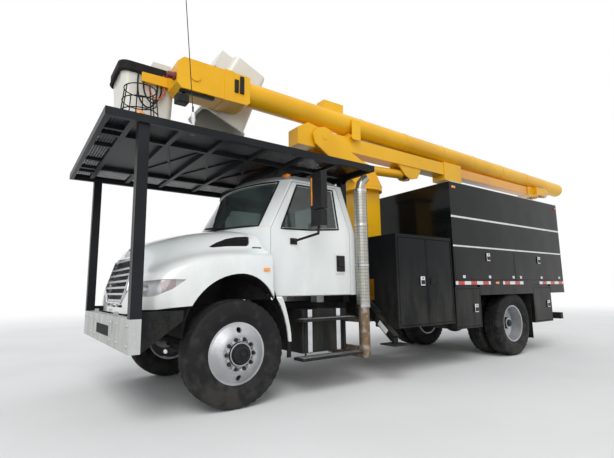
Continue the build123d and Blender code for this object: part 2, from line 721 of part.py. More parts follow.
def hood_form(inset, low):
    """The hood's outer form, or the space inside a wall of that thickness."""
    sections = []
    for x, crown_z, top_y, top_z, crease_y, crease_z, side_y, side_z in hood_stations:
        half = (
            (side_y - inset, low), (side_y - inset, side_z - 0.4 * inset),
            (crease_y - 0.7 * inset, crease_z - inset), (top_y - 0.4 * inset, top_z - inset),
        )
        crown = ((0, crown_z - inset),)
        mirrored = tuple((-y, z) for y, z in reversed(half))
        station = x - inset if x != at(-430) or not inset else x - 20
        with BuildSketch(Plane.YZ.offset(station)) as section:
            with BuildLine():
                Polyline(*(half + crown + mirrored), close=True)
            make_face()
        sections.append(section.sketch)
    loft(sections, ruled=True)
    lean = ((hood_front - inset, nose_break), (at(800) - inset, 1625), (at(800) - inset, 2000),
            (hood_front + 200, 2000), (hood_front + 200, nose_break))
    side_slab(lean, -1300, 1300, mode=Mode.SUBTRACT)
    for side in (1, -1):
        corner = ((hood_front - inset, side * 600), (at(885) - inset, side * 1000), (at(800) - inset, side * 1110),
                  (hood_front + 50, side * 1110), (hood_front + 50, side * 600))
        plan_slab(corner, low - 1, 2000, mode=Mode.SUBTRACT)


# Side view of the headlamps, which wrap round the nose's corners
lamp_outline = ((hood_front + 50, 1073), (hood_front + 50, 1216), (at(700), 1240), (at(509), 1237), (at(640), 1150))

with BuildPart() as hood_space:
    hood_form(hood_wall, hood_bottom - 60)

with BuildPart() as hood_skin:
    hood_form(0, hood_bottom)
    add(hood_space.part, mode=Mode.SUBTRACT)

with BuildPart() as lamps_zone:
    for side in (1, -1):
        side_slab(lamp_outline, side * 640, side * 1200)

grille_opening = ((-330, 1030), (-517, 1158), (-480, 1480), (480, 1480), (517, 1158), (330, 1030))
grille_clear = ((-322, 1054), (-492, 1170), (-458, 1456), (458, 1456), (492, 1170), (322, 1054))
with BuildPart() as hood:
    add(hood_skin.part)
    with BuildSketch(Plane.XZ.offset(-1300)) as arch:
        with BuildLine():
            ThreePointArc((at(530), 700), (at(354.3), 1124.3), (at(-70), 1300))
            ThreePointArc((at(-70), 1300), (at(-280), 1230), (at(-415), 1061))
            Polyline((at(-415), 1061), (at(-600), 640), (at(-600), 300), (at(530), 300), (at(530), 700))
        make_face()
    extrude(arch.sketch, amount=2600, mode=Mode.SUBTRACT)
    for side in (1, -1):
        bar(at(-500), hood_front + 10, side * 640, side * 1200, hood_bottom - 10, fender_bottom, mode=Mode.SUBTRACT)
    cab_block(-hood_gap, 300, cab_roof, mode=Mode.SUBTRACT)
    add(lamps_zone.part, mode=Mode.SUBTRACT)
    front_slab(grille_opening, at(700), hood_front + 50, mode=Mode.SUBTRACT)
    for y0, y1 in ((-400, -150), (-120, 120), (150, 400)):
        bar(at(860), hood_front + 10, y0, y1, 975, 1010, mode=Mode.SUBTRACT)
    for side in (1, -1):
        skirt = ((at(-380), 1300), (at(-438), 1300), (at(-438), 1045), (at(-560), 1045), (at(-690), 800),
                 (at(-690), 430), (at(-603), 430), (at(-603), 640), (at(-415), 1061), (at(-395), 1140))
        side_slab(skirt, side * 1075, side * 1100)
        arm = ((hood_front - hood_wall, hood_bottom), (hood_hinge_x, hood_hinge_z - 18),
               (hood_hinge_x + 18, hood_hinge_z - 8), (hood_hinge_x + 18, hood_hinge_z + 8),
               (hood_hinge_x, hood_hinge_z + 20), (hood_front - hood_wall, hood_bottom + 60))
        side_slab(arm, side * (hood_arm_y - 15.5), side * (hood_arm_y + 15.5))
        rod((hood_hinge_x, side * (hood_arm_y - 20), hood_hinge_z),
            (hood_hinge_x, side * (hood_arm_y + 20), hood_hinge_z), hood_pin + pivot_play, mode=Mode.SUBTRACT)
save(hood, "hood")

with BuildPart() as headlights:
    add(hood_skin.part)
    add(lamps_zone.part, mode=Mode.INTERSECT)
save(headlights, "headlights")

grille_rows = (1110.0, 1176.0, 1242.0, 1308.0, 1374.0)
with BuildPart() as grille_windows:
    front_slab(grille_clear, at(600), hood_front + 50)
    for row in grille_rows:
        bar(at(500), hood_front + 60, -600, 600, row - 11, row + 11, mode=Mode.SUBTRACT)

with BuildPart() as grille:
    face = ((hood_front - 3, 1000), (hood_front - 3, nose_break), (at(797), 1625), (at(779), 1625),
            (hood_front - 21, nose_break), (hood_front - 21, 1000))
    side_slab(face, -600, 600)
    front_slab(grille_opening, at(600), hood_front + 50, mode=Mode.INTERSECT)
    add(grille_windows.part, mode=Mode.SUBTRACT)
save(grille, "grille")

# Exhaust stack: elbow under the frame, lower pipe, heat shield and a tail that leans back under the canopy
elbow_low_z = 365.0
shield_low = 901.0
shield_high = 2398.0
tail_radius = 55.0
tail_bend = (at(-1745), stack_y, 2480)
tail_end = (at(-1826), stack_y, 2562)
hanger_plate = 12.0
with BuildPart() as exhaust_stack:
    rod((stack_x, stack_y, elbow_low_z), (stack_x, stack_y, shield_low), pipe_radius)
    rod((stack_x, stack_y, shield_low), (stack_x, stack_y, shield_high), stack_radius)
    rod((stack_x, stack_y, shield_high), tail_bend, tail_radius)
    rod(tail_bend, tail_end, tail_radius)
    with Locations(tail_bend):
        Sphere(tail_radius)
    with Locations((stack_x, stack_y, elbow_low_z)):
        Sphere(pipe_radius)
    rod((stack_x, stack_y, elbow_low_z), (stack_x, rail_outer_y + 2, elbow_low_z), pipe_radius)
    rod((tail_end[0] + 57, stack_y, tail_end[2] - 58), tail_end, tail_radius - 6, mode=Mode.SUBTRACT)
    bar(stack_x - 40, stack_x + 40, rail_outer_y, rail_outer_y + hanger_plate, elbow_low_z - 60, 800)
    bar(stack_x - 20, stack_x + 20, rail_outer_y, stack_y, 720, 760)
    with Locations((stack_x, stack_y, 741)):
        Cylinder(pipe_radius + 6, 30)
save(exhaust_stack, "exhaust_stack")

# Tanks under the cab and the two steps on each of them
tank_front = at(-860.0)
tank_rear = at(-1510.0)
tank_inner = 500.0
tank_outer = 1000.0
tank_bottom = 420.0
tank_top = 900.0
tread_depth = 30.0
steps = (
    # front x, rear x, outer y, top z
    (at(-771.0), at(-1561.0), 1150.0, 805.0),
    (at(-743.0), at(-1621.0), 1180.0, 395.0),
)
with BuildPart() as side_steps:
    for side in (1, -1):
        bar(tank_rear, tank_front, side * tank_inner, side * tank_outer, tank_bottom, tank_top)
        for front, rear, reach, top in steps:
            bar(rear, front, side * tank_outer, side * reach, top - tread_depth, top)
        for station in (tank_front - 40, tank_rear + 40):
            bar(station - 10, station + 10, side * tank_outer, side * (tank_outer + 14),
                steps[1][3] - tread_depth, steps[0][3])
            bar(station - 30, station + 30, side * rail_outer_y, side * tank_inner, 720, 880)
save(side_steps, "side_steps")

# Pedestal of the boom
base_plate = 40.0
with BuildPart() as pedestal:
    bar(pedestal_x - pedestal_base / 2, pedestal_x + pedestal_base / 2, -rail_outer_y, rail_outer_y,
        rail_top, rail_top + base_plate)
    bar(pedestal_x - pedestal_neck / 2, pedestal_x + pedestal_neck / 2, -pedestal_neck / 2, pedestal_neck / 2,
        rail_top + base_plate, ring_bottom)
    with Locations((pedestal_x, 0, ring_bottom)):
        Cylinder(ring_radius, ring_mid - ring_bottom, align=(Align.CENTER, Align.CENTER, Align.MIN))
    for side in (1, -1):
        gusset = ((side * pedestal_neck / 2, rail_top + base_plate), (side * 410, rail_top + base_plate),
                  (side * pedestal_neck / 2, 1500))
        front_slab(gusset, pedestal_x - 12, pedestal_x + 12)
save(pedestal, "pedestal")

# Lockers: a box side, a recess for each flush door, and the room behind it
flush_wall = door_wall + seat_gap + 6.0
lip = 20.0
latch_reach = 12.0


def locker_room(side, rear, front, low, high, inner_y):
    """Cuts a door's recess, its mouth and the room behind it into a box whose face is at body_half."""
    seat_y = side * (body_half - door_wall - seat_gap)
    inside_y = side * (body_half - flush_wall)
    bar(rear - panel_gap, front + panel_gap, seat_y, side * (body_half + 1), low - panel_gap, high + panel_gap,
        mode=Mode.SUBTRACT)
    bar(rear + lip, front - lip, inside_y - side, side * body_half, low + lip, high - lip, mode=Mode.SUBTRACT)
    bar(rear - panel_gap, front + panel_gap, side * inner_y, inside_y, low - panel_gap, high + panel_gap,
        mode=Mode.SUBTRACT)


def locker_door(name, side, rear, front, low, high, latch_x, latch_z):
    """A flush door slab with its paddle latch."""
    with BuildPart() as door_slab:
        bar(rear, front, side * (body_half - door_wall), side * body_half, low, high)
        bar(latch_x - 55, latch_x + 55, side * (body_half - 2), side * (body_half + latch_reach),
            latch_z - 45, latch_z + 45)
    save(door_slab, name)


cabinet_inner = cabinet_half - cabinet_depth
cabinet_doors = (
    # name, rear x, front x, bottom, top, latch x, latch z
    ("front", at(-2808.0), at(-2265.0), 651.0, 1800.0, at(-2709.0), 1224.0),
    ("rear", at(-3375.0), at(-2838.0), 651.0, 1800.0, at(-2940.0), 1224.0),
)
with BuildPart() as cabinets:
    for side in (1, -1):
        bar(cabinet_rear, cabinet_front, side * cabinet_inner, side * cabinet_half, cabinet_bottom, cabinet_top)
        for name, rear, front, low, high, latch_x, latch_z in cabinet_doors:
            locker_room(side, rear, front, low, high, cabinet_inner + cabinet_wall)
        for station in (at(-2330.0), at(-3280.0)):
            bar(station - 30, station + 30, side * rail_outer_y, side * cabinet_inner, 760, 900)
    bar(at(-2560.0), cabinet_front, -cabinet_inner, cabinet_inner, cross_bottom, cabinet_top)
save(cabinets, "cabinets")
for side, side_name in ((1, "left"), (-1, "right")):
    for name, rear, front, low, high, latch_x, latch_z in cabinet_doors:
        locker_door(f"cabinet_door_{name}_{side_name}", side, rear, front, low, high, latch_x, latch_z)

# Chip body: a roofed bin over side lockers, with its sills, skirts and rear sill
pack_inner = body_half - pack_depth
bin_floor = 50.0
shelf_z = pack_top + 48.0
pack_doors = (
    # name, rear x, front x, bottom, top, latch x, latch z
    ("front", at(-5162.0), at(-3485.0), pack_bottom + 10, pack_top - 7, at(-4360.0), 1605.0),
    ("rear", at(-6935.0), at(-5188.0), pack_bottom + 10, pack_top - 7, at(-6024.0), 1605.0),
)
under_boxes_table = (
    # name, rear x, front x, bottom, latch x
    ("front", at(-4080.0), at(-3442.0), 530.0, at(-3935.0)),
    ("rear", at(-6396.0), at(-5737.0), 500.0, at(-6250.0)),
)
gate_hinge_x = at(-6990.0)
gate_hinge_y = -1208.0
gate_pin = 8.0
hinge_rows = (1400.0, 1950.0, 2500.0)
sill_stations = (at(-3550.0), at(-4150.0), at(-4650.0), at(-5600.0), at(-6150.0), at(-6750.0))
with BuildPart() as chip_body:
    bar(body_rear, body_front, -body_half, body_half, body_bottom, body_top)
    bar(body_rear - 1, body_front - body_wall, -(body_half - body_wall), body_half - body_wall,
        shelf_z, body_top - body_wall, mode=Mode.SUBTRACT)
    bar(body_rear - 1, body_front - body_wall, -pack_inner, pack_inner, body_bottom + bin_floor, shelf_z,
        mode=Mode.SUBTRACT)
    for name, rear, front, low, high, latch_x, latch_z in pack_doors:
        locker_room(1, rear, front, low, high, pack_inner + body_wall)
    for side in (1, -1):
        bar(body_rear, body_front, side * (rail_outer_y - rail_flange), side * rail_outer_y, rail_top,
            rail_top + 100)
        skirt_spans = (
            (body_rear, under_boxes_table[1][1] - panel_gap),
            (under_boxes_table[1][2] + panel_gap, under_boxes_table[0][1] - panel_gap),
        )
        for rear, front in skirt_spans:
            bar(rear, front, side * (body_half - skirt_wall), side * body_half, skirt_bottom, body_bottom)
    for station in sill_stations:
        bar(station - 50, station + 50, -pack_inner + 20, pack_inner - 20, rail_top + 100, body_bottom)
    bar(body_rear, body_rear + 50, -body_half + skirt_wall, body_half - skirt_wall, 1020, body_bottom)
    for hinge_z in hinge_rows:
        for z0, z1 in ((hinge_z + 31, hinge_z + 43), (hinge_z - 43, hinge_z - 31)):
            bar(gate_hinge_x - 13, body_rear, gate_hinge_y - 11, gate_hinge_y + 10, z0, z1)
        rod((gate_hinge_x, gate_hinge_y, hinge_z - 43), (gate_hinge_x, gate_hinge_y, hinge_z + 43), gate_pin)
save(chip_body, "chip_body")
for name, rear, front, low, high, latch_x, latch_z in pack_doors:
    locker_door(f"side_locker_door_{name}", 1, rear, front, low, high, latch_x, latch_z)

# Boxes hung under the body; those on the left open
under_box_top = 1135.0
with BuildPart() as under_boxes:
    for side in (1, -1):
        for name, rear, front, low, latch_x in under_boxes_table:
            bar(rear, front, side * pack_inner, side * body_half, low, under_box_top)
            for y0 in (pack_inner + 20, body_half - 80):
                bar(rear + 40, front - 40, side * y0, side * (y0 + 60), under_box_top, body_bottom)
    for name, rear, front, low, latch_x in under_boxes_table:
        locker_room(1, rear + 25, front - 25, low + 30, under_box_top - 30, pack_inner + cabinet_wall)
save(under_boxes, "under_boxes")
for name, rear, front, low, latch_x in under_boxes_table:
    locker_door(f"under_box_door_{name}", 1, rear + 25, front - 25, low + 30, under_box_top - 30, latch_x, 819.0)

# Tailgate of the chip body, hinged on three pins at its right edge
gate_face = body_rear - seat_gap
gate_wall = 40.0
gate_half = 1195.0
with BuildPart() as tailgate:
    bar(gate_face - gate_wall, gate_face, -gate_half, gate_half, 1190, 2714)
    for hinge_z in hinge_rows:
        bar(gate_face - gate_wall - 1, gate_face + 1, -gate_half - 1, -gate_half + 30, hinge_z - 55, hinge_z + 55,
            mode=Mode.SUBTRACT)
        rod((gate_hinge_x, gate_hinge_y, hinge_z - 30), (gate_hinge_x, gate_hinge_y, hinge_z + 30), 12)
        bar(gate_face - gate_wall, gate_hinge_x + 8, gate_hinge_y, -gate_half + 40, hinge_z - 30, hinge_z + 30)
        rod((gate_hinge_x, gate_hinge_y, hinge_z - 40), (gate_hinge_x, gate_hinge_y, hinge_z + 40),
            gate_pin + pivot_play, mode=Mode.SUBTRACT)
    bar(gate_face - gate_wall - 18, gate_face - gate_wall, 1080, 1140, 1700, 1820)
save(tailgate, "tailgate")

# Rear bumper with its brackets and drawbar plate, mud flaps and tail lamps
bumper_rear = at(-7090.0)
plate_hole = 9.0
plate_spacing_y = 84.0
plate_spacing_z = 44.0
plate_centre_z = 760.0
with BuildPart() as rear_bumper:
    bar(bumper_rear, rail_rear, -1100, 1100, 500, 620)
    bar(rail_rear - 16, rail_rear, -rail_outer_y, rail_outer_y, 619, 950)
    with Locations(Plane(origin=(rail_rear, 0, plate_centre_z), x_dir=(0, 1, 0), z_dir=(-1, 0, 0))):
        with GridLocations(plate_spacing_y, plate_spacing_z, 2, 2):
            Cylinder(plate_hole, 60, mode=Mode.SUBTRACT)
save(rear_bumper, "rear_bumper")

with BuildPart() as mud_flaps:
    for side in (1, -1):
        bar(at(-5668), at(-5660), side * 860, side * 1190, 242, body_bottom)
save(mud_flaps, "mud_flaps")

with BuildPart() as tail_lamps:
    for side in (1, -1):
        bar(body_rear - 28, body_rear, side * 1000, side * 1180, 1050, 1130)
save(tail_lamps, "tail_lamps")

# Outrigger legs with their pads
for side, name in ((1, "left"), (-1, "right")):
    with BuildPart() as leg:
        leg_box(side, leg_length, 0, leg_size)
        rod((outrigger_x, side * foot_y, foot_z - 60), (outrigger_x, side * foot_y, foot_z + 10), 40)
        bar(outrigger_x - pad_size / 2, outrigger_x + pad_size / 2, side * (foot_y - pad_size / 2),
            side * (foot_y + pad_size / 2), foot_z - 60 - pad_thickness, foot_z - 60)
    save(leg, f"outrigger_{name}")

# Turret: turntable ring, two cheeks, the boom's pivot pin and the lift cylinder's pin
cheek_outline = (
    (at(-3110), ring_top), (at(-2480), ring_top), (at(-2330), 2950), (at(-1720), 3300), (at(-1680), 3440),
    (at(-1760), 3560), (at(-1900), 3600), (at(-2040), 3560), (at(-2200), 3400), (at(-2640), 3200),
    (at(-2914), 3129),
)
cheek_outer = cheek_inner + cheek_wall
pivot_pin = 45.0
with BuildPart() as turret:
    with Locations((pedestal_x, 0, ring_mid + seat_gap)):
        Cylinder(ring_radius, ring_top - ring_mid - seat_gap, align=(Align.CENTER, Align.CENTER, Align.MIN))
    bar(at(-3110), at(-2480), -cheek_outer, cheek_outer, ring_top - 1, ring_top + 20)
    for side in (1, -1):
        side_slab(cheek_outline, side * cheek_inner, side * cheek_outer)
    bar(at(-2600), at(-2500), -cheek_outer, cheek_outer, ring_top, ring_top + 90)
    rod((lower_pivot_x, -cheek_outer - 8, lower_pivot_z), (lower_pivot_x, cheek_outer + 8, lower_pivot_z), pivot_pin)
    rod((barrel_base_x, -cheek_outer - 8, barrel_base_z), (barrel_base_x, cheek_outer + 8, barrel_base_z),
        cylinder_pin)
save(turret, "turret")

# Lower boom: steel box with its head, collar, cradle and cylinder bracket, and the fitting at the far end
half_w = lower_width / 2
half_h = lower_height / 2
insert_half_w = insert_width / 2
insert_half_h = insert_height / 2
insert_start = at(-4700.0)
cradle_top = tube_axis_z(cradle_x - cradle_length / 2) - tube_radius / cos(atan(tube_slope)) - seat_gap
cradle_inner = 185.0
cradle_plate = 15.0
bracket_inner = 85.0
bracket_plate = 25.0
head_outline = (
    (lower_head_x, 3260), (lower_head_x, 3518), (at(-1627), 3630), (at(-1799), 3600), (at(-2050), 3560),
    (at(-2150), 3440), (at(-1950), 3320), (at(-1700), 3260),
)
bracket_outline = (
    (at(-3608), 3330), (at(-4238), 3330), (at(-4120), 3130), (at(-4000), 3100), (at(-3880), 3100),
    (at(-3780), 3150),
)
with BuildPart() as lower_boom:
    bar(collar_rear, at(-1950), -half_w, half_w, lower_pivot_z - half_h, lower_pivot_z + half_h)
    side_slab(head_outline, -half_w, half_w)
    bar(collar_rear, collar_front, -half_w - 20, half_w + 20, 3220, 3580)
    bar(collar_rear - 1, insert_start + seat_gap, -insert_half_w - seat_gap, insert_half_w + seat_gap,
        lower_pivot_z - insert_half_h - seat_gap, lower_pivot_z + insert_half_h + seat_gap, mode=Mode.SUBTRACT)
    bar(cradle_x - cradle_length / 2, cradle_x + cradle_length / 2, -cradle_inner - cradle_plate,
        cradle_inner + cradle_plate, lower_pivot_z + half_h - 1, lower_pivot_z + half_h + 40)
    bar(cradle_x - cradle_length / 2, cradle_x + cradle_length / 2, -100, 100, lower_pivot_z + half_h, cradle_top)
    for side in (1, -1):
        bar(cradle_x - cradle_length / 2, cradle_x + cradle_length / 2, side * cradle_inner,
            side * (cradle_inner + cradle_plate), 3516, 3854)
        side_slab(bracket_outline, side * bracket_inner, side * (bracket_inner + bracket_plate))
    rod((lower_pivot_x, -200, lower_pivot_z), (lower_pivot_x, 200, lower_pivot_z), pivot_pin + pivot_play,
        mode=Mode.SUBTRACT)
    yoke_outer = yoke_inner + yoke_wall
    bar(at(-8425), at(-8200), -insert_half_w - 25, insert_half_w + 25, elbow_z - 97, elbow_z + 97)
    bar(insert_end - seat_gap, at(-8190), -insert_half_w - seat_gap, insert_half_w + seat_gap,
        elbow_z - insert_half_h - seat_gap, elbow_z + insert_half_h + seat_gap, mode=Mode.SUBTRACT)
    bar(at(-8600), at(-8420), -yoke_outer, yoke_outer, elbow_z - 90, elbow_z + 90)
    for side in (1, -1):
        bar(at(-8900), at(-8590), side * yoke_inner, side * yoke_outer, elbow_z - 90, elbow_z + 90)
        rod((elbow_x, side * yoke_inner, elbow_z), (elbow_x, side * yoke_outer, elbow_z), 90)
        rod((elbow_x, side * (yoke_inner - 1), elbow_z), (elbow_x, side * (yoke_outer + 1), elbow_z),
            elbow_pin_radius + pivot_play, mode=Mode.SUBTRACT)
save(lower_boom, "lower_boom")

with BuildPart() as boom_insert:
    bar(insert_end, insert_start, -insert_half_w, insert_half_w, elbow_z - insert_half_h, elbow_z + insert_half_h)
save(boom_insert, "boom_insert")

# Elbow: the pin and its two sheaves
with BuildPart() as elbow:
    rod((elbow_x, -yoke_outer - 5, elbow_z), (elbow_x, yoke_outer + 5, elbow_z), elbow_pin_radius)
    for side in (1, -1):
        rod((elbow_x, side * sheave_inner, elbow_z), (elbow_x, side * (sheave_inner + sheave_wall), elbow_z),
            sheave_radius)
save(elbow, "elbow")

# Upper boom: hollow round tube with a domed tail, its lugs at the elbow, the hose box and the housing at its tip
tail_x = tube_rear + tube_radius
lug_outline = (
    (at(-8700), 3620), (at(-9136), 3620), (at(-9136), 3414), (at(-8940), 3345), (at(-8860), 3345),
    (at(-8790), 3400),
)
housing_outline = (
    (tip_rear, tip_bottom + 40), (tip_rear, tip_top - 10), (at(-560), tip_top), (at(300), tip_top),
    (tip_front, tip_top - 80), (tip_front, tip_bottom + 60), (at(320), tip_bottom), (at(-560), tip_bottom),
)
tube_ends = ((tail_x, 0, tube_axis_z(tail_x)), (tube_front, 0, tube_front_z))
with BuildPart() as boom_tube:
    for radius, mode in ((tube_radius, Mode.ADD), (tube_bore, Mode.SUBTRACT)):
        rod(*tube_ends, radius, mode=mode)
        with Locations(tube_ends[0]):
            Sphere(radius, mode=mode)
    bar(tip_rear - seat_gap, tube_front + 50, -300, 300, 3400, 4200, mode=Mode.SUBTRACT)

with BuildPart() as boom_fittings:
    for side in (1, -1):
        side_slab(lug_outline, side * lug_inner, side * (lug_inner + lug_wall))
    bar(at(-2359), at(-1966), -95, 95, tube_axis_z(at(-2160)) + 120, 4100)
    rod(*tube_ends, tube_radius + seat_gap, mode=Mode.SUBTRACT)
    rod((elbow_x, -200, elbow_z), (elbow_x, 200, elbow_z), elbow_pin_radius + pivot_play, mode=Mode.SUBTRACT)

with BuildPart() as tip_housing:
    side_slab(housing_outline, -tip_half, tip_half)
    bar(at(-560) + tip_wall, at(300), -tip_half + tip_wall, tip_half - tip_wall, tip_bottom + tip_wall,
        tip_top - tip_wall, mode=Mode.SUBTRACT)
    rod((shaft_x, -200, shaft_z), (shaft_x, 200, shaft_z), shaft_radius + pivot_play, mode=Mode.SUBTRACT)

with BuildPart() as upper_boom:
    add(boom_tube.part)
    add(boom_fittings.part)
    add(tip_housing.part)
save(upper_boom, "upper_boom")

# Platform: the levelling shaft, its arm, the front bucket's bracket and the rear bucket's tilt pin
arm_outer = arm_inner + arm_wall
tilt_pin = 30.0
arm_outline = (
    (at(-530), 3790), (at(-530), 3910), (at(-370), 3910), (at(300), 3870), (at(700), 3860), (at(700), 3740),
    (at(-200), 3730),
)
with BuildPart() as platform:
    rod((shaft_x, -arm_outer, shaft_z), (shaft_x, tip_half + 0.3, shaft_z), shaft_radius)
    rod((shaft_x, tip_half + seat_gap, shaft_z), (shaft_x, tip_half + 15, shaft_z), 70)
    side_slab(arm_outline, -arm_outer, -arm_inner)
    bar(at(300), at(640), bucket_near_y, -arm_outer, 3740, 3860)
    rod((tilt_pin_x, bucket_near_y + 2, tilt_pin_z), (tilt_pin_x, -arm_inner, tilt_pin_z), tilt_pin)
save(platform, "platform")


def bucket_section(plane, height, length, width, shift):
    """A rounded section across a bucket, shifted towards its boom side."""
    with BuildSketch(plane.offset(height)) as section:
        with Locations((0, shift)):
            RectangleRounded(length, width, bucket_corner)
    return section.sketch


def bucket_shell(plane, near):
    """A tapered bucket on a plane at its base; near is the plane's y direction of the boom side."""
    wall = bucket_wall
    lean = near * bucket_taper / 2
    base_length = bucket_length - 60
    base_width = bucket_width - bucket_taper
    low = bucket_section(plane, 0, base_length, base_width, lean)
    high = bucket_section(plane, bucket_height, bucket_rim_length - 25, bucket_width, 0)
    loft([low, high])
    rim_ring = bucket_section(plane, bucket_height - rim_flange, bucket_rim_length + 25, bucket_width + 36, 0)
    extrude(rim_ring, amount=rim_flange)
    low_in = bucket_section(plane, wall, base_length - 2 * wall, base_width - 2 * wall, lean - near)
    high_in = bucket_section(plane, bucket_height + 1, bucket_rim_length - 25 - 2 * wall, bucket_width - 2 * wall, 0)
    loft([low_in, high_in], mode=Mode.SUBTRACT)


bucket_mid_y = bucket_near_y - bucket_width / 2
front_plane = Plane(origin=(front_bucket_x, bucket_mid_y, front_bucket_rim - bucket_height), x_dir=(1, 0, 0),
                    z_dir=(0, 0, 1))
with BuildPart() as front_bucket:
    bucket_shell(front_plane, 1)
    bar(at(330), at(560), bucket_near_y - 90, bucket_near_y + 10, front_bucket_rim - 1, front_bucket_rim + 90)
save(front_bucket, "front_bucket")

tilt = radians(rear_bucket_angle)
mouth_dir = Vector(sin(tilt), 0, cos(tilt))
rear_plane = Plane(origin=(rear_bucket_base_x, bucket_mid_y, rear_bucket_base_z),
                   x_dir=(-cos(tilt), 0, sin(tilt)), z_dir=mouth_dir)
with BuildPart() as rear_bucket:
    bucket_shell(rear_plane, -1)
    with Locations(rear_plane):
        with Locations((bucket_length / 2 + 50, 0, 0)):
            Box(200, 380, 300, align=(Align.CENTER, Align.CENTER, Align.MIN))
    rod((tilt_pin_x, bucket_near_y - 10, tilt_pin_z), (tilt_pin_x, -arm_outer - 5.2, tilt_pin_z), 80)
    rod((tilt_pin_x, bucket_near_y + 1.7, tilt_pin_z), (tilt_pin_x, -arm_outer, tilt_pin_z),
        tilt_pin + pivot_play, mode=Mode.SUBTRACT)
save(rear_bucket, "rear_bucket")

# Lift cylinder: barrel on the turret's pin, rod with its eye between the boom's bracket plates
lift_run = Vector(rod_eye_x - barrel_base_x, 0, rod_eye_z - barrel_base_z)
lift_dir = lift_run.normalized()
base = Vector(barrel_base_x, 0, barrel_base_z)
rod_start = 110.0
with BuildPart() as lift_barrel:
    rod(base + lift_dir * 20, base + lift_dir * barrel_length, barrel_radius)
    rod((barrel_base_x, -100, barrel_base_z), (barrel_base_x, 100, barrel_base_z), eye_radius)
    rod(base + lift_dir * (rod_start - 10), base + lift_dir * (barrel_length + 1), rod_radius + seat_gap,
        mode=Mode.SUBTRACT)
    rod((barrel_base_x, -110, barrel_base_z), (barrel_base_x, 110, barrel_base_z), cylinder_pin + pivot_play,
        mode=Mode.SUBTRACT)
save(lift_barrel, "lift_barrel")

with BuildPart() as lift_rod:
    rod(base + lift_dir * rod_start, base + lift_run, rod_radius)
    rod((rod_eye_x, -bracket_inner + seat_gap, rod_eye_z), (rod_eye_x, bracket_inner - seat_gap, rod_eye_z),
        eye_radius)
save(lift_rod, "lift_rod")
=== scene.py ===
# %% [markdown]
# # A forestry bucket truck, dressed in Blender
# The frame below is the finished CAD model of the truck: 59 parts that already stand and move as they
# should. This lesson adds what makes it look real: paint, rubber, glass, lamps, latches and soft seats.
# Distances are in metres, +X is forward, +Y is the driver's side and the road is z = 0.

# %% Load the frame
from math import atan2, cos, pi, radians, sin, sqrt

import bmesh
import bpy
from mathutils import Matrix, Vector


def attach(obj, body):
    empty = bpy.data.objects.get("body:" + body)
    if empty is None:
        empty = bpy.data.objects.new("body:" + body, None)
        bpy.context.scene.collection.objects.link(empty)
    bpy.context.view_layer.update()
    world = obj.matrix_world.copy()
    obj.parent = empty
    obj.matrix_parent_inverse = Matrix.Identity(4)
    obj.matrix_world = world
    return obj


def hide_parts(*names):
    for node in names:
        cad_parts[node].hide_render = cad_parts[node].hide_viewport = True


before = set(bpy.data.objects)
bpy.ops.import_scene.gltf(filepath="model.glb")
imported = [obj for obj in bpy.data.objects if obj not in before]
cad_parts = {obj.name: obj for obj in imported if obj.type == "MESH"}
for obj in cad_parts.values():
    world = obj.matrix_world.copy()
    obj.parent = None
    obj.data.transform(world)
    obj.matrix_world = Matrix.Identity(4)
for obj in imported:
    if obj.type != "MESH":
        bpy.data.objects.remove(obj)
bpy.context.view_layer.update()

front_axle = 4.405  # model X of the front axle
rear_axle_ahead = -5.1
sides = ((1, "left"), (-1, "right"))


def X(ahead):
    """Model X of a place given from the front axle, forward positive."""
    return front_axle + ahead


# %% [markdown]
# ## Camera
# The photograph was taken from about the height of a person's chest, close to the left front wheel, with a
# wide lens. A camera fitted to known points of the truck gives its place, its heading and its climb.

# %% Camera
photo_width = 614
focal_px = 411.79
heading = radians(234.19)
climb = radians(8.43)
lean = radians(-0.81)
camera_place = (6.2679, 4.8948, 1.1240)
forward = Vector((cos(heading) * cos(climb), sin(heading) * cos(climb), sin(climb)))
right = Vector((sin(heading), -cos(heading), 0))
up = right.cross(forward)
leaned_right = right * cos(lean) + up * sin(lean)
leaned_up = up * cos(lean) - right * sin(lean)
camera_data = bpy.data.cameras.new("camera")
camera_data.sensor_width = 36
camera_data.lens = focal_px / photo_width * camera_data.sensor_width
camera_data.clip_end = 300
camera = bpy.data.objects.new("camera", camera_data)
bpy.context.scene.collection.objects.link(camera)
turn = Matrix((leaned_right, leaned_up, -forward)).transposed().to_4x4()
camera.matrix_world = Matrix.Translation(camera_place) @ turn
bpy.context.scene.camera = camera
print("lens", round(camera_data.lens, 2), "mm")

# %% [markdown]
# ## Shader maths as Python
# A finish is a small sum of patterns: a tint that drifts, dust that gathers low down, a faint orange peel.
# `Wire` wraps one value on its way through the material, so `dust * 0.3 + fine` adds its Math nodes itself.

# %% Wires


class Wire:
    """A value on its way through a finish; arithmetic on it adds Math nodes."""

    def __init__(self, nodes, socket):
        self.nodes = nodes
        self.socket = socket

    def __add__(self, other):
        return self.nodes.math("ADD", self, other)

    def __sub__(self, other):
        return self.nodes.math("SUBTRACT", self, other)

    def __rsub__(self, other):
        return self.nodes.math("SUBTRACT", other, self)

    def __mul__(self, other):
        return self.nodes.math("MULTIPLY", self, other)

    def __gt__(self, other):
        return self.nodes.math("GREATER_THAN", self, other)

    def __lt__(self, other):
        return self.nodes.math("LESS_THAN", self, other)

    __radd__ = __add__
    __rmul__ = __mul__


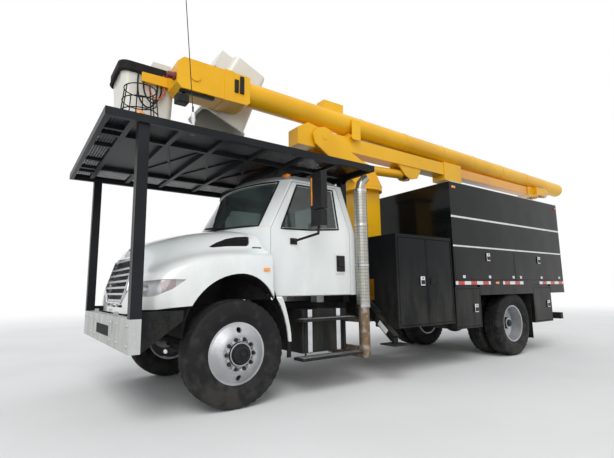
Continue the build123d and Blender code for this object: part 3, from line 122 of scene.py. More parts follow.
class Nodes:
    """A node tree that is built from expressions."""

    def __init__(self, tree):
        self.tree = tree

    def node(self, kind, settings, *inputs, out=0, **named):
        """Adds one node, with its settings first, then its sockets by order or by name."""
        node = self.tree.nodes.new(kind)
        for key, value in settings.items():
            setattr(node, key, value)
        by_name = [(key.replace("_", " "), value) for key, value in named.items()]
        for key, value in list(enumerate(inputs)) + by_name:
            if isinstance(value, Wire):
                self.tree.links.new(value.socket, node.inputs[key])
            elif value is not None:
                node.inputs[key].default_value = value
        return Wire(self, node.outputs[out])

    def math(self, operation, first, second=None):
        """Adds one Math node."""
        return self.node("ShaderNodeMath", {"operation": operation}, first, second)

    def seen(self):
        """1 for rays that show a thing to the camera, straight, mirrored or through glass."""
        rays = self.tree.nodes.new("ShaderNodeLightPath")
        camera_ray, glossy, through = [Wire(self, rays.outputs[f"Is {kind} Ray"])
                                       for kind in ("Camera", "Glossy", "Transmission")]
        return self.math("MAXIMUM", self.math("MAXIMUM", camera_ray, glossy), through)


print("shader maths ready")

# %% Finishes
number_sockets = [None] * 5  # a Mix node's sockets between its share and its colours, left as they are


class Finish(Nodes):
    """One material: its shader, and the patterns that feed it."""

    def __init__(self, name, **fixed):
        self.material = bpy.data.materials.new(name)
        self.material.use_nodes = True
        super().__init__(self.material.node_tree)
        self.shader = self.tree.nodes["Principled BSDF"]
        for socket, value in fixed.items():
            self.shader.inputs[socket.replace("_", " ")].default_value = value
        self.place = self.node("ShaderNodeTexCoord", {}, out="Object")
        self.x, self.y, self.z = [self.node("ShaderNodeSeparateXYZ", {}, self.place, out=axis)
                                  for axis in "XYZ"]

    def noise(self, scale, detail=2.0, stretch=(1, 1, 1)):
        """Cloudy variation, about 0.3 to 0.7, with its blotches one over scale metres wide."""
        place = self.node("ShaderNodeVectorMath", {"operation": "MULTIPLY"}, self.place, stretch)
        return self.node("ShaderNodeTexNoise", {}, place, Scale=scale, Detail=detail)

    def cells(self, scale, out="Distance"):
        """A pattern of cells, such as zinc spangle."""
        return self.node("ShaderNodeTexVoronoi", {}, self.place, Scale=scale, out=out)

    def ramp(self, value, low, high):
        """0 at low, 1 at high, smooth between them."""
        smooth = {"interpolation_type": "SMOOTHSTEP"}
        return self.node("ShaderNodeMapRange", smooth, value, low, high, 0.0, 1.0)

    def mix(self, share, first, second):
        """A colour between two colours."""
        colours = [value if isinstance(value, Wire) else (*value, 1.0) for value in (first, second)]
        return self.node("ShaderNodeMix", {"data_type": "RGBA"}, share, *number_sockets, *colours, out=2)

    def feed(self, socket, wire):
        """Links a pattern to one of the shader's own sockets."""
        self.tree.links.new(wire.socket, self.shader.inputs[socket])

    def relief(self, height, depth, strength=1.0):
        """Adds a bump of that depth in metres under the last one."""
        normal = self.node("ShaderNodeBump", {}, Height=height, Distance=depth, Strength=strength)
        before = self.shader.inputs["Normal"]
        if before.is_linked:
            self.tree.links.new(before.links[0].from_socket, normal.socket.node.inputs["Normal"])
        self.feed("Normal", normal)


print("finish patterns ready")

# %% Paints
dust_tint = (0.30, 0.27, 0.23)
orange_peel = 0.00015


def paint(name, colour, shade, rough, coat, dust, wave, shine=0.5):
    """A vehicle paint: drifting tint, dust low down, panels that wave a little and orange peel."""
    finish = Finish(name, Coat_Weight=coat, Coat_Roughness=0.05, Coat_IOR=1.5, Specular_IOR_Level=shine)
    broad = finish.noise(0.9, 3)
    streaks = finish.noise(7, 4, (1, 1, 0.25))
    fine = finish.noise(60, 3)
    low = finish.ramp(finish.z, 1.9, 0.35)
    grime = low * finish.ramp(streaks + fine * 0.35, 0.45, 0.85) * dust
    tint = finish.mix(finish.ramp(broad, 0.35, 0.65), colour, shade)
    finish.feed("Base Color", finish.mix(grime, tint, dust_tint))
    finish.feed("Roughness", fine * 0.10 + grime * 0.5 + (rough - 0.05))
    if wave:
        finish.relief(finish.noise(1.7, 1), wave)
    finish.relief(finish.noise(450, 1), orange_peel)
    return finish.material


paint_table = {
    # slot: name, colour, shade, roughness, coat, dust, wave, shine
    "white_paint": ("white enamel", (0.80, 0.82, 0.80), (0.74, 0.77, 0.76), 0.22, 0.8, 0.35, 0.0),
    "yellow_paint": ("boom yellow", (0.90, 0.49, 0.008), (0.82, 0.41, 0.006), 0.34, 0.10, 0.4, 0.0, 0.35),
    "black_paint": ("satin black", (0.005, 0.006, 0.007), (0.009, 0.010, 0.011), 0.38, 0.0, 0.1, 0.004, 0.12),
    "gloss_black": ("gloss black", (0.003, 0.004, 0.004), (0.006, 0.007, 0.007), 0.12, 0.1, 0.08, 0.012,
                    0.14),
    "grey_paint": ("bumper grey", (0.50, 0.52, 0.51), (0.43, 0.45, 0.44), 0.40, 0.15, 0.5, 0.0),
    "bucket_grp": ("bucket gel coat", (0.74, 0.72, 0.64), (0.66, 0.64, 0.57), 0.36, 0.3, 0.2, 0.003),
    "insert_grp": ("boom insert resin", (0.80, 0.36, 0.02), (0.72, 0.30, 0.02), 0.35, 0.4, 0.2, 0.0),
    "navy": ("navy enamel", (0.010, 0.018, 0.060), (0.014, 0.024, 0.075), 0.25, 0.8, 0.1, 0.0),
    "maroon": ("maroon enamel", (0.16, 0.012, 0.015), (0.20, 0.016, 0.018), 0.35, 0.4, 0.2, 0.0),
    "hose_orange": ("hose orange", (0.62, 0.10, 0.01), (0.50, 0.08, 0.01), 0.45, 0.1, 0.1, 0.0),
}
finishes = {slot: paint(*row) for slot, row in paint_table.items()}
print("paints:", len(finishes))

# %% Metals and plastics


def plain_metal(name, colour, shade, rough, metallic, scale, depth, shine=0.5):
    """A metal or plastic with mottled tint and a grain of that scale and depth."""
    finish = Finish(name, Specular_IOR_Level=shine)
    broad = finish.noise(scale * 0.06, 3)
    grain = finish.noise(scale, 4)
    finish.feed("Base Color", finish.mix(finish.ramp(broad + grain * 0.3, 0.45, 0.85), colour, shade))
    finish.feed("Roughness", grain * 0.2 + (rough - 0.1))
    finish.shader.inputs["Metallic"].default_value = metallic
    finish.relief(grain, depth)
    return finish.material


grain_table = {
    # slot: name, colour, shade, roughness, metallic, grain scale, grain depth, shine
    "dark_steel": ("chassis steel", (0.014, 0.014, 0.015), (0.032, 0.027, 0.024), 0.6, 0.0, 60, 0.001, 0.3),
    "machined_steel": ("bright steel", (0.55, 0.55, 0.56), (0.42, 0.42, 0.43), 0.25, 1.0, 90, 0.0001),
    "silver_rim": ("wheel silver", (0.50, 0.51, 0.53), (0.36, 0.36, 0.37), 0.40, 0.55, 70, 0.0002),
    "grille_plastic": ("grille chrome", (0.42, 0.43, 0.45), (0.30, 0.31, 0.33), 0.22, 0.9, 120, 0.0001),
    "mirror_shell": ("black plastic", (0.008, 0.008, 0.009), (0.014, 0.014, 0.015), 0.42, 0.0, 700, 0.0003,
                     0.25),
    "flap_rubber": ("flap rubber", (0.007, 0.007, 0.007), (0.016, 0.015, 0.014), 0.75, 0.0, 200, 0.0008, 0.2),
    "interior": ("cab plastic", (0.028, 0.029, 0.032), (0.042, 0.043, 0.046), 0.65, 0.0, 500, 0.0006, 0.3),
    "chrome": ("chrome", (0.72, 0.73, 0.75), (0.60, 0.61, 0.63), 0.14, 1.0, 150, 0.00005),
    "tread_plate": ("step alloy", (0.30, 0.31, 0.32), (0.16, 0.16, 0.17), 0.5, 0.6, 80, 0.0006),
    "lamp_silver": ("lamp silver", (0.78, 0.79, 0.80), (0.66, 0.67, 0.68), 0.35, 0.35, 60, 0.0001),
    "seat_cloth": ("seat cloth", (0.055, 0.055, 0.060), (0.085, 0.085, 0.090), 0.85, 0.0, 900, 0.0006),
}
finishes |= {slot: plain_metal(*row) for slot, row in grain_table.items()}
print("metals and plastics:", len(grain_table))

# %% Rubber, heat shield, glass and lamps


def rubber_finish():
    """Tyre rubber: near black, greyer with dust low down, with a fine moulded grain."""
    finish = Finish("tyre rubber", Specular_IOR_Level=0.25)
    worn = finish.noise(9, 4)
    grain = finish.noise(260, 3)
    low = finish.ramp(finish.z, 0.7, 0.0)
    dusty = finish.ramp(worn + low * 0.25, 0.5, 0.85)
    finish.feed("Base Color", finish.mix(dusty, (0.009, 0.009, 0.010), (0.036, 0.034, 0.031)))
    finish.feed("Roughness", grain * 0.2 + 0.6)
    finish.relief(grain, 0.0006)
    return finish.material


stack_ahead = -1.722
stack_out = 1.10


def zinc_finish():
    """Galvanised heat shield with rows of punched holes painted near black, partly the dark pipe behind them
    and partly painted shade, and the rusty pipe below it.
    """
    finish = Finish("zinc shield", Metallic=0.85)
    spangle = finish.cells(45, out="Color")
    tone = finish.node("ShaderNodeSeparateColor", {}, spangle)
    around = finish.math("ARCTAN2", finish.y - stack_out, finish.x - X(stack_ahead))
    column = finish.math("FRACT", around * (18 / (2 * pi)) + 40)
    row = finish.math("FRACT", finish.z * 26)
    reach = (column - 0.5) * (column - 0.5) + (row - 0.5) * (row - 0.5) * 1.5
    punched_holes_painted_shade = (reach < 0.035) * (finish.z > 0.95) * (finish.z < 2.38)
    metal = finish.mix(tone * 0.6, (0.46, 0.45, 0.41), (0.30, 0.29, 0.26))
    rust = finish.ramp(finish.z, 0.96, 0.86) * finish.ramp(finish.noise(14, 4), 0.25, 0.6)
    shell = finish.mix(rust, metal, (0.23, 0.15, 0.09))
    # Painted shade: each punched hole is painted near black for the shaded space and pipe behind the shield.
    finish.feed("Base Color", finish.mix(punched_holes_painted_shade, shell, (0.010, 0.009, 0.008)))
    finish.feed("Roughness", rust * 0.35 + tone * 0.15 + 0.28)
    finish.relief(1 - punched_holes_painted_shade, 0.003)
    return finish.material


def clear_finish(name, tint, rough):
    """Glass or clear lens, with a breath of dust in patches."""
    finish = Finish(name, Transmission_Weight=0.9, IOR=1.45)
    film = finish.ramp(finish.noise(4, 3), 0.35, 0.75)
    finish.feed("Base Color", finish.mix(film, tint, tuple(0.8 * value for value in tint)))
    finish.feed("Roughness", film * 0.04 + rough)
    return finish.material


def lens_with_painted_glow(name, colour, glow):
    """A coloured lamp lens: ribbed and deep tinted, with a painted glow: a faint emission that stands for
    daylight caught inside the lamp.
    """
    finish = Finish(name, Transmission_Weight=0.25, Coat_Weight=1.0, Emission_Strength=glow)
    ribs = finish.math("SINE", finish.y * 900 + finish.x * 500)
    cloud = finish.ramp(finish.noise(25, 2), 0.3, 0.7)
    finish.feed("Base Color", finish.mix(cloud, colour, tuple(0.7 * value for value in colour)))
    # Painted glow: the lens gives out a little light of its own colour, though no lamp is lit behind it.
    finish.feed("Emission Color", finish.mix(cloud, colour, tuple(0.5 * value for value in colour)))
    finish.feed("Roughness", cloud * 0.1 + 0.12)
    finish.relief(ribs, 0.0008, 0.6)
    return finish.material


finishes |= {
    "tyre": rubber_finish(),
    "galvanised": zinc_finish(),
    "glass": clear_finish("tinted glass", (0.30, 0.36, 0.35), 0.0),
    "lens": clear_finish("clear lens", (0.95, 0.96, 0.97), 0.03),
    # The last number of each lens is the strength of its painted glow.
    "red_lens": lens_with_painted_glow("red lens", (0.62, 0.015, 0.012), 0.15),
    "amber_lens": lens_with_painted_glow("amber lens", (0.95, 0.33, 0.02), 0.25),
    "rose_lens": lens_with_painted_glow("rose lens", (0.46, 0.20, 0.20), 0.05),
}
print("finishes so far:", len(finishes))

# %% Canopy mesh, and every CAD part painted
canopy_top = 2.695


def mesh_deck_finish():
    """The canopy: satin black steel, with expanded metal let into its deck where light shows through."""
    finish = Finish("canopy black", Specular_IOR_Level=0.20)
    fine = finish.noise(80, 3)
    broad = finish.ramp(finish.noise(2, 3), 0.35, 0.7)
    finish.feed("Base Color", finish.mix(broad, (0.006, 0.007, 0.009), (0.012, 0.013, 0.016)))
    finish.feed("Roughness", fine * 0.15 + 0.34)
    outboard = finish.math("ABSOLUTE", finish.y)
    deck = finish.z > canopy_top - 0.0065
    side_strip = (outboard > 0.70) * (outboard < 1.185) * (finish.x < X(1.02)) * (finish.x > X(-1.80))
    front_strip = (finish.x > X(1.09)) * (finish.x < X(1.255)) * (outboard < 1.18)
    open_area = deck * finish.math("MAXIMUM", side_strip, front_strip)
    along = finish.math("PINGPONG", finish.x * 18 + 100, 1.0)
    across = finish.math("PINGPONG", finish.y * 38 + 100, 1.0)
    ties = finish.math("ABSOLUTE", along - across)
    crossing = finish.math("ABSOLUTE", along + across - 1)
    strand = finish.math("MINIMUM", ties, crossing) < 0.24
    hole = open_area * (1 - strand)
    finish.feed("Alpha", 1 - hole)
    finish.relief(fine, 0.0004)
    return finish.material


canopy_black = mesh_deck_finish()
for node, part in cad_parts.items():
    for place in part.material_slots:
        slot = place.material.name.split(".")[0]
        place.material = canopy_black if node == "canopy_frame" else finishes[slot]
print("finishes:", len(finishes) + 1)

# %% [markdown]
# ## Helpers that work as the hands do
# Each helper adds a primitive or a drawn outline, shapes it in edit mode, and leaves one object with its
# place in its mesh. `settle` names it, smooths it, paints it and lets it ride on its CAD body.

# %% Helpers


def clear():
    """Back to object mode with nothing selected."""
    if bpy.context.mode != "OBJECT":
        bpy.ops.object.mode_set(mode="OBJECT")
    bpy.ops.object.select_all(action="DESELECT")


def take(piece):
    """Selects one piece alone and makes it active."""
    clear()
    piece.select_set(True)
    bpy.context.view_layer.objects.active = piece


def join(pieces):
    """Joins pieces into the first."""
    take(pieces[0])
    for piece in pieces[1:]:
        piece.select_set(True)
    if len(pieces) > 1:
        bpy.ops.object.join()
    return pieces[0]


def apply(piece, kind, **settings):
    """Adds a modifier to a piece, sets it and applies it."""
    take(piece)
    step = piece.modifiers.new(kind.lower(), kind)
    for key, value in settings.items():
        setattr(step, key, value)
    bpy.ops.object.modifier_apply(modifier=step.name)


def edited(*steps):
    """Runs edit mode steps on the active piece, each on the whole of it, and gives the piece."""
    bpy.ops.object.mode_set(mode="EDIT")
    for step, settings in steps:
        bpy.ops.mesh.select_all(action="SELECT")
        step(**settings)
    bpy.ops.object.mode_set(mode="OBJECT")
    return bpy.context.object


face_out = (bpy.ops.mesh.normals_make_consistent, {"inside": False})


def settle(piece, name, body, slot, look=None, angle=35, stands_for=()):
    """Names, smooths and paints a piece, with its slot's look or another, and lets it ride on its body."""
    take(piece)
    bpy.ops.object.transform_apply(location=True, rotation=True, scale=True)
    piece.name = name
    piece.data.name = name
    bpy.ops.object.shade_smooth_by_angle(angle=radians(angle))
    apply(piece, "WEIGHTED_NORMAL", keep_sharp=True)
    if look != "own":
        piece.data.materials.clear()
        piece.data.materials.append(finishes[look or slot])
    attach(piece, body)
    if stands_for:
        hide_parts(*stands_for)
    return piece


def drawn(points, faces=(), edges=()):
    """A new object from drawn points, its first outline."""
    mesh = bpy.data.meshes.new("drawn")
    mesh.from_pydata([tuple(point) for point in points], list(edges), list(faces))
    piece = bpy.data.objects.new("drawn", mesh)
    bpy.context.scene.collection.objects.link(piece)
    take(piece)
    return piece


def turned(profile, centre, axis, steps=48):
    """A profile of (along, radius) points spun round an axis through a centre."""
    axis = Vector(axis).normalized()
    out = axis.orthogonal().normalized()
    centre = Vector(centre)
    points = [centre + axis * along + out * radius for along, radius in profile]
    drawn(points, edges=[(i, i + 1) for i in range(len(points) - 1)])
    spin = (bpy.ops.mesh.spin, {"steps": steps, "angle": 2 * pi, "center": centre, "axis": axis})
    return edited(spin, (bpy.ops.mesh.remove_doubles, {"threshold": 0.00005}), face_out)


# %% [markdown]
# ## Tyres
# A tyre is one section spun round the axle: bead, bulging sidewall with two thin rings, shoulder and a
# ribbed tread. The lugs are made by pushing in two of every four strips of the shoulder after the spin,
# which is how the cross grooves of a drive tyre look from the side.

# %% Tyres
tyre_radius = 0.522
shoulder_out = 0.074
shoulder_reach = 0.492
tyre_steps = 160
tyre_section = (
    # sideways from the tyre's middle, radius
    (0.098, 0.291), (0.108, 0.302), (0.112, 0.318), (0.126, 0.345), (0.1365, 0.375), (0.1385, 0.380),
    (0.1375, 0.386), (0.1395, 0.405), (0.1385, 0.430), (0.1375, 0.433), (0.1375, 0.437), (0.1355, 0.440),
    (0.132, 0.466), (0.128, 0.484), (0.124, 0.500), (0.112, 0.512), (0.090, 0.5195), (0.076, 0.5205),
    (0.073, 0.508), (0.066, 0.508), (0.063, 0.5210), (0.034, 0.5218), (0.031, 0.509), (0.024, 0.509),
    (0.021, 0.5219), (0.0, 0.522),
)


def tyre(ahead, middle_y, lug_depth):
    """One tyre with a ribbed tread and lugs pushed in at the shoulders."""
    profile = list(tyre_section) + [(-side, radius) for side, radius in reversed(tyre_section[:-1])]
    profile.append(profile[0])
    centre = Vector((X(ahead), middle_y, tyre_radius))
    piece = turned(profile, centre, (0, 1, 0), tyre_steps)
    skin = bmesh.new()
    skin.from_mesh(piece.data)
    for vert in skin.verts:
        run = vert.co - centre
        reach = sqrt(run.x ** 2 + run.z ** 2)
        turn_share = atan2(run.z, run.x) / (2 * pi) * tyre_steps
        shoulder = abs(run.y) > shoulder_out and reach > shoulder_reach
        if shoulder and round(turn_share) % 4 in (0, 1):
            scale = (reach - lug_depth) / reach
            vert.co = centre + Vector((run.x * scale, run.y, run.z * scale))
    skin.to_mesh(piece.data)
    skin.free()
    return piece


for side, name in sides:
    steer = tyre(0, side * 1.016, 0.006)
    settle(steer, f"steer_tyre_{name}", f"front_wheel_body_{name}", "tyre", angle=30,
           stands_for=(f"front_tyre_{name}",))
    pair = [tyre(rear_axle_ahead, side * out, 0.012) for out in (1.048, 0.718)]
    settle(join(pair), f"drive_tyres_{name}", f"rear_wheel_body_{name}", "tyre", angle=30,
           stands_for=(f"rear_tyres_{name}",))
print("tyres made")

# %% [markdown]
# ## Hubs and nuts
# The rims are right as they come from CAD. Each gets a black hub cap in front, a flanged axle end behind,
# and ten domed nuts round its stud circle.

# %% Hubs and nuts
front_cap = (
    (-0.01, 0.0), (-0.01, 0.108), (0.008, 0.117), (0.020, 0.113), (0.026, 0.099), (0.050, 0.092),
    (0.062, 0.083), (0.066, 0.060), (0.067, 0.052), (0.060, 0.048), (0.061, 0.028), (0.070, 0.026),
    (0.074, 0.018), (0.075, 0.0),
)
rear_cap = (
    (-0.01, 0.0), (-0.01, 0.120), (0.010, 0.126), (0.022, 0.122), (0.028, 0.108), (0.150, 0.094),
    (0.168, 0.088), (0.174, 0.080), (0.176, 0.060), (0.196, 0.056), (0.202, 0.046), (0.204, 0.0),
)
nut_profile = ((0.0, 0.0), (0.0, 0.021), (0.006, 0.021), (0.008, 0.017), (0.028, 0.0165), (0.036, 0.011),
               (0.038, 0.0))
stud_circle = 0.143
studs = 10


def nut_ring(centre, out):
    """The nuts round a wheel's stud circle, standing out from its face."""
    places = [centre + stud_circle * Vector((cos(turn), 0, sin(turn)))
              for turn in [i * 2 * pi / studs for i in range(studs)]]
    return join([turned(nut_profile, place, (0, out, 0), 6) for place in places])


for side, name in sides:
    for end, cap_name, cap, ahead, out in (("front", "hub_cap", front_cap, 0, 1.176),
                                           ("rear", "axle_flange", rear_cap, rear_axle_ahead, 0.897)):
        body = f"{end}_wheel_body_{name}"
        face = Vector((X(ahead), side * out, tyre_radius))
        settle(turned(cap, face, (0, side, 0), 40), f"{cap_name}_{name}", body, "mirror_shell")
        settle(nut_ring(face, side), f"wheel_nuts_{end}_{name}", body, "dark_steel", angle=25)
print("hubs and nuts made")

# %% [markdown]
# ## Hood
# The hood is one fibreglass moulding: a crowned middle, a valley, and a full fender on each side. A
# subdivided cage suits such a form. Each row of the cage is a section of the half hood, from the cab to the
# lower lip of the nose; a Mirror, a Subdivision Surface and a Solidify turn it into a wall, and the wheel
# arch, lamps, grille, slots and side vents are then cut out of it.

# %% Hood cage
cowl_bow = 1.5832  # radius of the cab's bowed front
cowl_centre = -1.6532
cowl_gap = 0.012


def cowl_x(side_y):
    """The bowed front of the cab at the hood's height, with the hood's gap before it."""
    return X(cowl_centre + sqrt(cowl_bow ** 2 - min(abs(side_y), 1.01) ** 2) + cowl_gap)


rear_row = [(cowl_x(side_y), side_y, height) for side_y, height in (
    (0, 1.812), (0.38, 1.808), (0.66, 1.795), (0.84, 1.762), (0.925, 1.68), (0.955, 1.575), (1.03, 1.532),
    (1.08, 1.495), (1.10, 1.40), (1.10, 1.20), (1.10, 1.0))]
straight_rows = {
    # distance ahead of the front axle: sideways, height
    0.10: ((0, 1.802), (0.36, 1.798), (0.57, 1.785), (0.745, 1.745), (0.86, 1.655), (0.925, 1.560),
                    (1.01, 1.520), (1.07, 1.482), (1.098, 1.39), (1.10, 1.20), (1.10, 1.0)),
    0.30: ((0, 1.772), (0.33, 1.768), (0.53, 1.754), (0.685, 1.712), (0.80, 1.625), (0.895, 1.530),
                    (0.99, 1.497), (1.058, 1.458), (1.094, 1.375), (1.10, 1.20), (1.10, 1.0)),
    0.50: ((0, 1.722), (0.30, 1.718), (0.48, 1.704), (0.625, 1.662), (0.735, 1.580), (0.845, 1.482),
                    (0.95, 1.452), (1.040, 1.412), (1.084, 1.335), (1.095, 1.19), (1.095, 0.99)),
    0.66: ((0, 1.672), (0.27, 1.668), (0.44, 1.655), (0.575, 1.615), (0.675, 1.535), (0.785, 1.420),
                    (0.91, 1.388), (1.018, 1.345), (1.068, 1.270), (1.085, 1.15), (1.085, 0.98)),
}
bowed_rows = (
    # ahead, sideways, height
    (
        (0.785, 0, 1.628), (0.783, 0.25, 1.624), (0.775, 0.41, 1.608), (0.772, 0.52, 1.560),
        (0.785, 0.60, 1.475), (0.795, 0.72, 1.350), (0.790, 0.88, 1.318), (0.775, 0.985, 1.275),
        (0.762, 1.042, 1.205), (0.755, 1.062, 1.10), (0.745, 1.062, 0.97)),
    (
        (0.842, 0, 1.475), (0.841, 0.24, 1.473), (0.838, 0.40, 1.462), (0.834, 0.50, 1.430),
        (0.840, 0.575, 1.365), (0.850, 0.70, 1.285), (0.850, 0.86, 1.256), (0.838, 0.955, 1.218),
        (0.822, 1.010, 1.155), (0.810, 1.030, 1.07), (0.800, 1.030, 0.965)),
    (
        (0.900, 0, 1.268), (0.900, 0.23, 1.268), (0.898, 0.39, 1.264), (0.894, 0.49, 1.250),
        (0.893, 0.565, 1.222), (0.893, 0.69, 1.185), (0.887, 0.84, 1.163), (0.872, 0.935, 1.138),
        (0.855, 0.987, 1.098), (0.842, 1.005, 1.035), (0.832, 1.005, 0.962)),
    (
        (0.928, 0, 1.080), (0.927, 0.23, 1.080), (0.924, 0.39, 1.079), (0.919, 0.49, 1.075),
        (0.915, 0.565, 1.069), (0.909, 0.68, 1.058), (0.899, 0.83, 1.049), (0.884, 0.918, 1.036),
        (0.868, 0.967, 1.014), (0.855, 0.985, 0.985), (0.846, 0.985, 0.955)),
    (
        (0.928, 0, 0.915), (0.927, 0.23, 0.915), (0.924, 0.39, 0.915), (0.919, 0.49, 0.915),
        (0.915, 0.565, 0.918), (0.909, 0.68, 0.925), (0.899, 0.82, 0.932), (0.886, 0.90, 0.938),
        (0.872, 0.945, 0.944), (0.860, 0.965, 0.948), (0.852, 0.965, 0.950)),
)
cage = [rear_row, [(x + 0.14, y, z) for x, y, z in rear_row]]
cage += [[(X(ahead), y, z) for y, z in row] for ahead, row in straight_rows.items()]
cage += [[(X(x), y, z) for x, y, z in row] for row in bowed_rows]
columns = len(cage[0])
points = [point for row in cage for point in row]
faces = [(r * columns + c, r * columns + c + 1, (r + 1) * columns + c + 1, (r + 1) * columns + c)
         for r in range(len(cage) - 1) for c in range(columns - 1)]
hood = drawn(points, faces=faces)
apply(hood, "MIRROR", use_axis=(False, True, False), use_clip=True, merge_threshold=0.0005)
apply(hood, "SUBSURF", levels=3, render_levels=3, boundary_smooth="PRESERVE_CORNERS")
take(hood)
edited(face_out)
top_face = max(hood.data.polygons, key=lambda face: face.center.z)
if top_face.normal.z < 0:
    hood.data.flip_normals()
apply(hood, "SOLIDIFY", thickness=0.018, offset=-1)
print("hood cage:", len(hood.data.polygons), "faces")

# %% Hood openings


def rounding(width, segments):
    """The edit mode step that bevels all edges."""
    return bpy.ops.mesh.bevel, {"offset": width, "segments": segments, "affect": "EDGES"}


def block(low, high, bevel=0.004, segments=2):
    """A rectangular piece with all its edges bevelled in edit mode."""
    middle = [(a + b) / 2 for a, b in zip(low, high)]
    size = [abs(b - a) for a, b in zip(low, high)]
    clear()
    bpy.ops.mesh.primitive_cube_add(size=1, location=middle, scale=size)
    bpy.ops.object.transform_apply(location=True, rotation=True, scale=True)
    return edited(rounding(bevel, segments))


def plate(outline, depth, bevel=0.0, segments=2):
    """A flat outline of 3-D points pushed out by a depth vector, its edges softened."""
    drawn(outline, faces=[tuple(range(len(outline)))])
    push = (bpy.ops.mesh.extrude_region_move, {"TRANSFORM_OT_translate": {"value": depth}})
    return edited(push, face_out, *([rounding(bevel, segments)] if bevel else []))


def twin(piece, shift=(0, 0, 0)):
    """A copy with its own mesh, moved."""
    other = piece.copy()
    other.data = piece.data.copy()
    bpy.context.scene.collection.objects.link(other)
    other.data.transform(Matrix.Translation(shift))
    return other


def cut(piece, cutter, operation="DIFFERENCE", keep=False):
    """Cuts one piece with another, exactly."""
    apply(piece, "BOOLEAN", object=cutter, operation=operation, solver="EXACT")
    if not keep:
        bpy.data.objects.remove(cutter)
    return piece


def arc(start, through, end, count):
    """Points on the circle through three side-view points, without the last."""
    (ax, az), (bx, bz), (cx, cz) = start, through, end
    d = 2 * (ax * (bz - cz) + bx * (cz - az) + cx * (az - bz))
    a, b, c = ax ** 2 + az ** 2, bx ** 2 + bz ** 2, cx ** 2 + cz ** 2
    ux = (a * (bz - cz) + b * (cz - az) + c * (az - bz)) / d
    uz = (a * (cx - bx) + b * (ax - cx) + c * (bx - ax)) / d
    radius = sqrt((ax - ux) ** 2 + (az - uz) ** 2)
    first = atan2(az - uz, ax - ux)
    last = atan2(cz - uz, cx - ux)
    if last < first:
        last += 2 * pi
    turns = [first + (last - first) * i / count for i in range(count)]
    return [(ux + radius * cos(turn), uz + radius * sin(turn)) for turn in turns]


def side_plate(outline, y0, y1, bevel=0.0):
    """A side view's outline as a plate between two distances from the middle."""
    return plate([(X(x), y0, z) for x, z in outline], (0, y1 - y0, 0), bevel)


arch_top = arc((0.53, 0.70), (0.3543, 1.1243), (-0.07, 1.30), 14)
arch_top += arc((-0.07, 1.30), (-0.26, 1.245), (-0.415, 1.085), 8) + [(-0.415, 1.085)]
arch_line = arch_top + [(-0.60, 0.64), (-0.60, 0.30), (0.53, 0.30)]
lamp_line = [(0.975, 1.073), (0.975, 1.214), (0.70, 1.242), (0.515, 1.238), (0.64, 1.150), (0.78, 1.090)]
vent_line = [(0.215, 1.578), (0.13, 1.628), (0.02, 1.674), (-0.09, 1.700), (-0.225, 1.712), (-0.240, 1.700),
             (-0.222, 1.632), (-0.205, 1.607), (-0.175, 1.598), (0.02, 1.590), (0.18, 1.571)]
grille_line = [(-0.33, 1.03), (-0.517, 1.158), (-0.48, 1.48), (0.48, 1.48), (0.517, 1.158), (0.33, 1.03)]

cut(hood, side_plate(arch_line, -1.3, 1.3))
for y0, y1 in ((0.64, 1.2), (-1.2, -0.64)):
    cut(hood, block((X(-0.5), y0, 0.80), (X(0.99), y1, 0.968), 0.0001))
for y0, y1 in ((-0.40, -0.15), (-0.12, 0.12), (0.15, 0.40)):
    cut(hood, block((X(0.84), y0, 0.975), (X(0.96), y1, 1.010)))
lamps = {}
vents = {}
for side, name in sides:
    for store, outline, near, far in ((lamps, lamp_line, 0.64, 1.2), (vents, vent_line, 0.74, 1.04)):
        tool = side_plate(outline, side * near, side * far)
        store[name] = cut(twin(hood), tool, "INTERSECT", keep=True)
        cut(hood, tool)
cut(hood, plate([(X(0.70), y, z) for y, z in grille_line], (0.28, 0, 0)))
settle(hood, "hood_shell", "hood_assembly", "white_paint", angle=32, stands_for=("hood",))
print("hood cut:", len(hood.data.polygons), "faces")

# %% [markdown]
# ## Headlamps, vents and grille
# The lens is the very piece that was cut out of the hood, so it lies flush. Behind it sit a grey backing,
# two bright bowls and a rose wing. Each side vent is its own cut-out pushed in by two centimetres, crossed
# by louvres that follow its skin.

# %% Headlamps


def on_skin(target, start, direction):
    """The point where a straight line first meets a piece, with the piece's facing there."""
    hit, place, normal, _ = target.ray_cast(Vector(start), Vector(direction))
    return (place, normal) if hit else (None, None)


def along(outline, step):
    """Points about every step along a closed flat outline."""
    found = []
    for (a, b), (c, d) in zip(outline, outline[1:] + outline[:1]):
        count = max(1, round(sqrt((c - a) ** 2 + (d - b) ** 2) / step))
        found += [(a + (c - a) * i / count, b + (d - b) * i / count) for i in range(count)]
    return found


def wire(points, radius, closed=False, smooth=False):
    """A round bar along a line of points, made a mesh."""
    curve = bpy.data.curves.new("wire", "CURVE")
    curve.dimensions = "3D"
    curve.bevel_depth = radius
    curve.bevel_resolution = 3
    curve.use_fill_caps = not closed
    line = curve.splines.new("NURBS" if smooth else "POLY")
    line.points.add(len(points) - 1)
    for point, place in zip(line.points, points):
        point.co = (*place, 1)
    if smooth:
        line.order_u = 3
        line.use_endpoint_u = not closed
        line.resolution_u = 6
    line.use_cyclic_u = closed
    piece = bpy.data.objects.new("wire", curve)
    bpy.context.scene.collection.objects.link(piece)
    take(piece)
    bpy.ops.object.convert(target="MESH")
    return bpy.context.object


def bead(target, starts, direction, radius):
    """A closed bead of that radius, laid on a piece where lines from the starting points meet it."""
    spots = [on_skin(target, start, direction)[0] for start in starts]
    return wire([spot for spot in spots if spot], radius, closed=True)


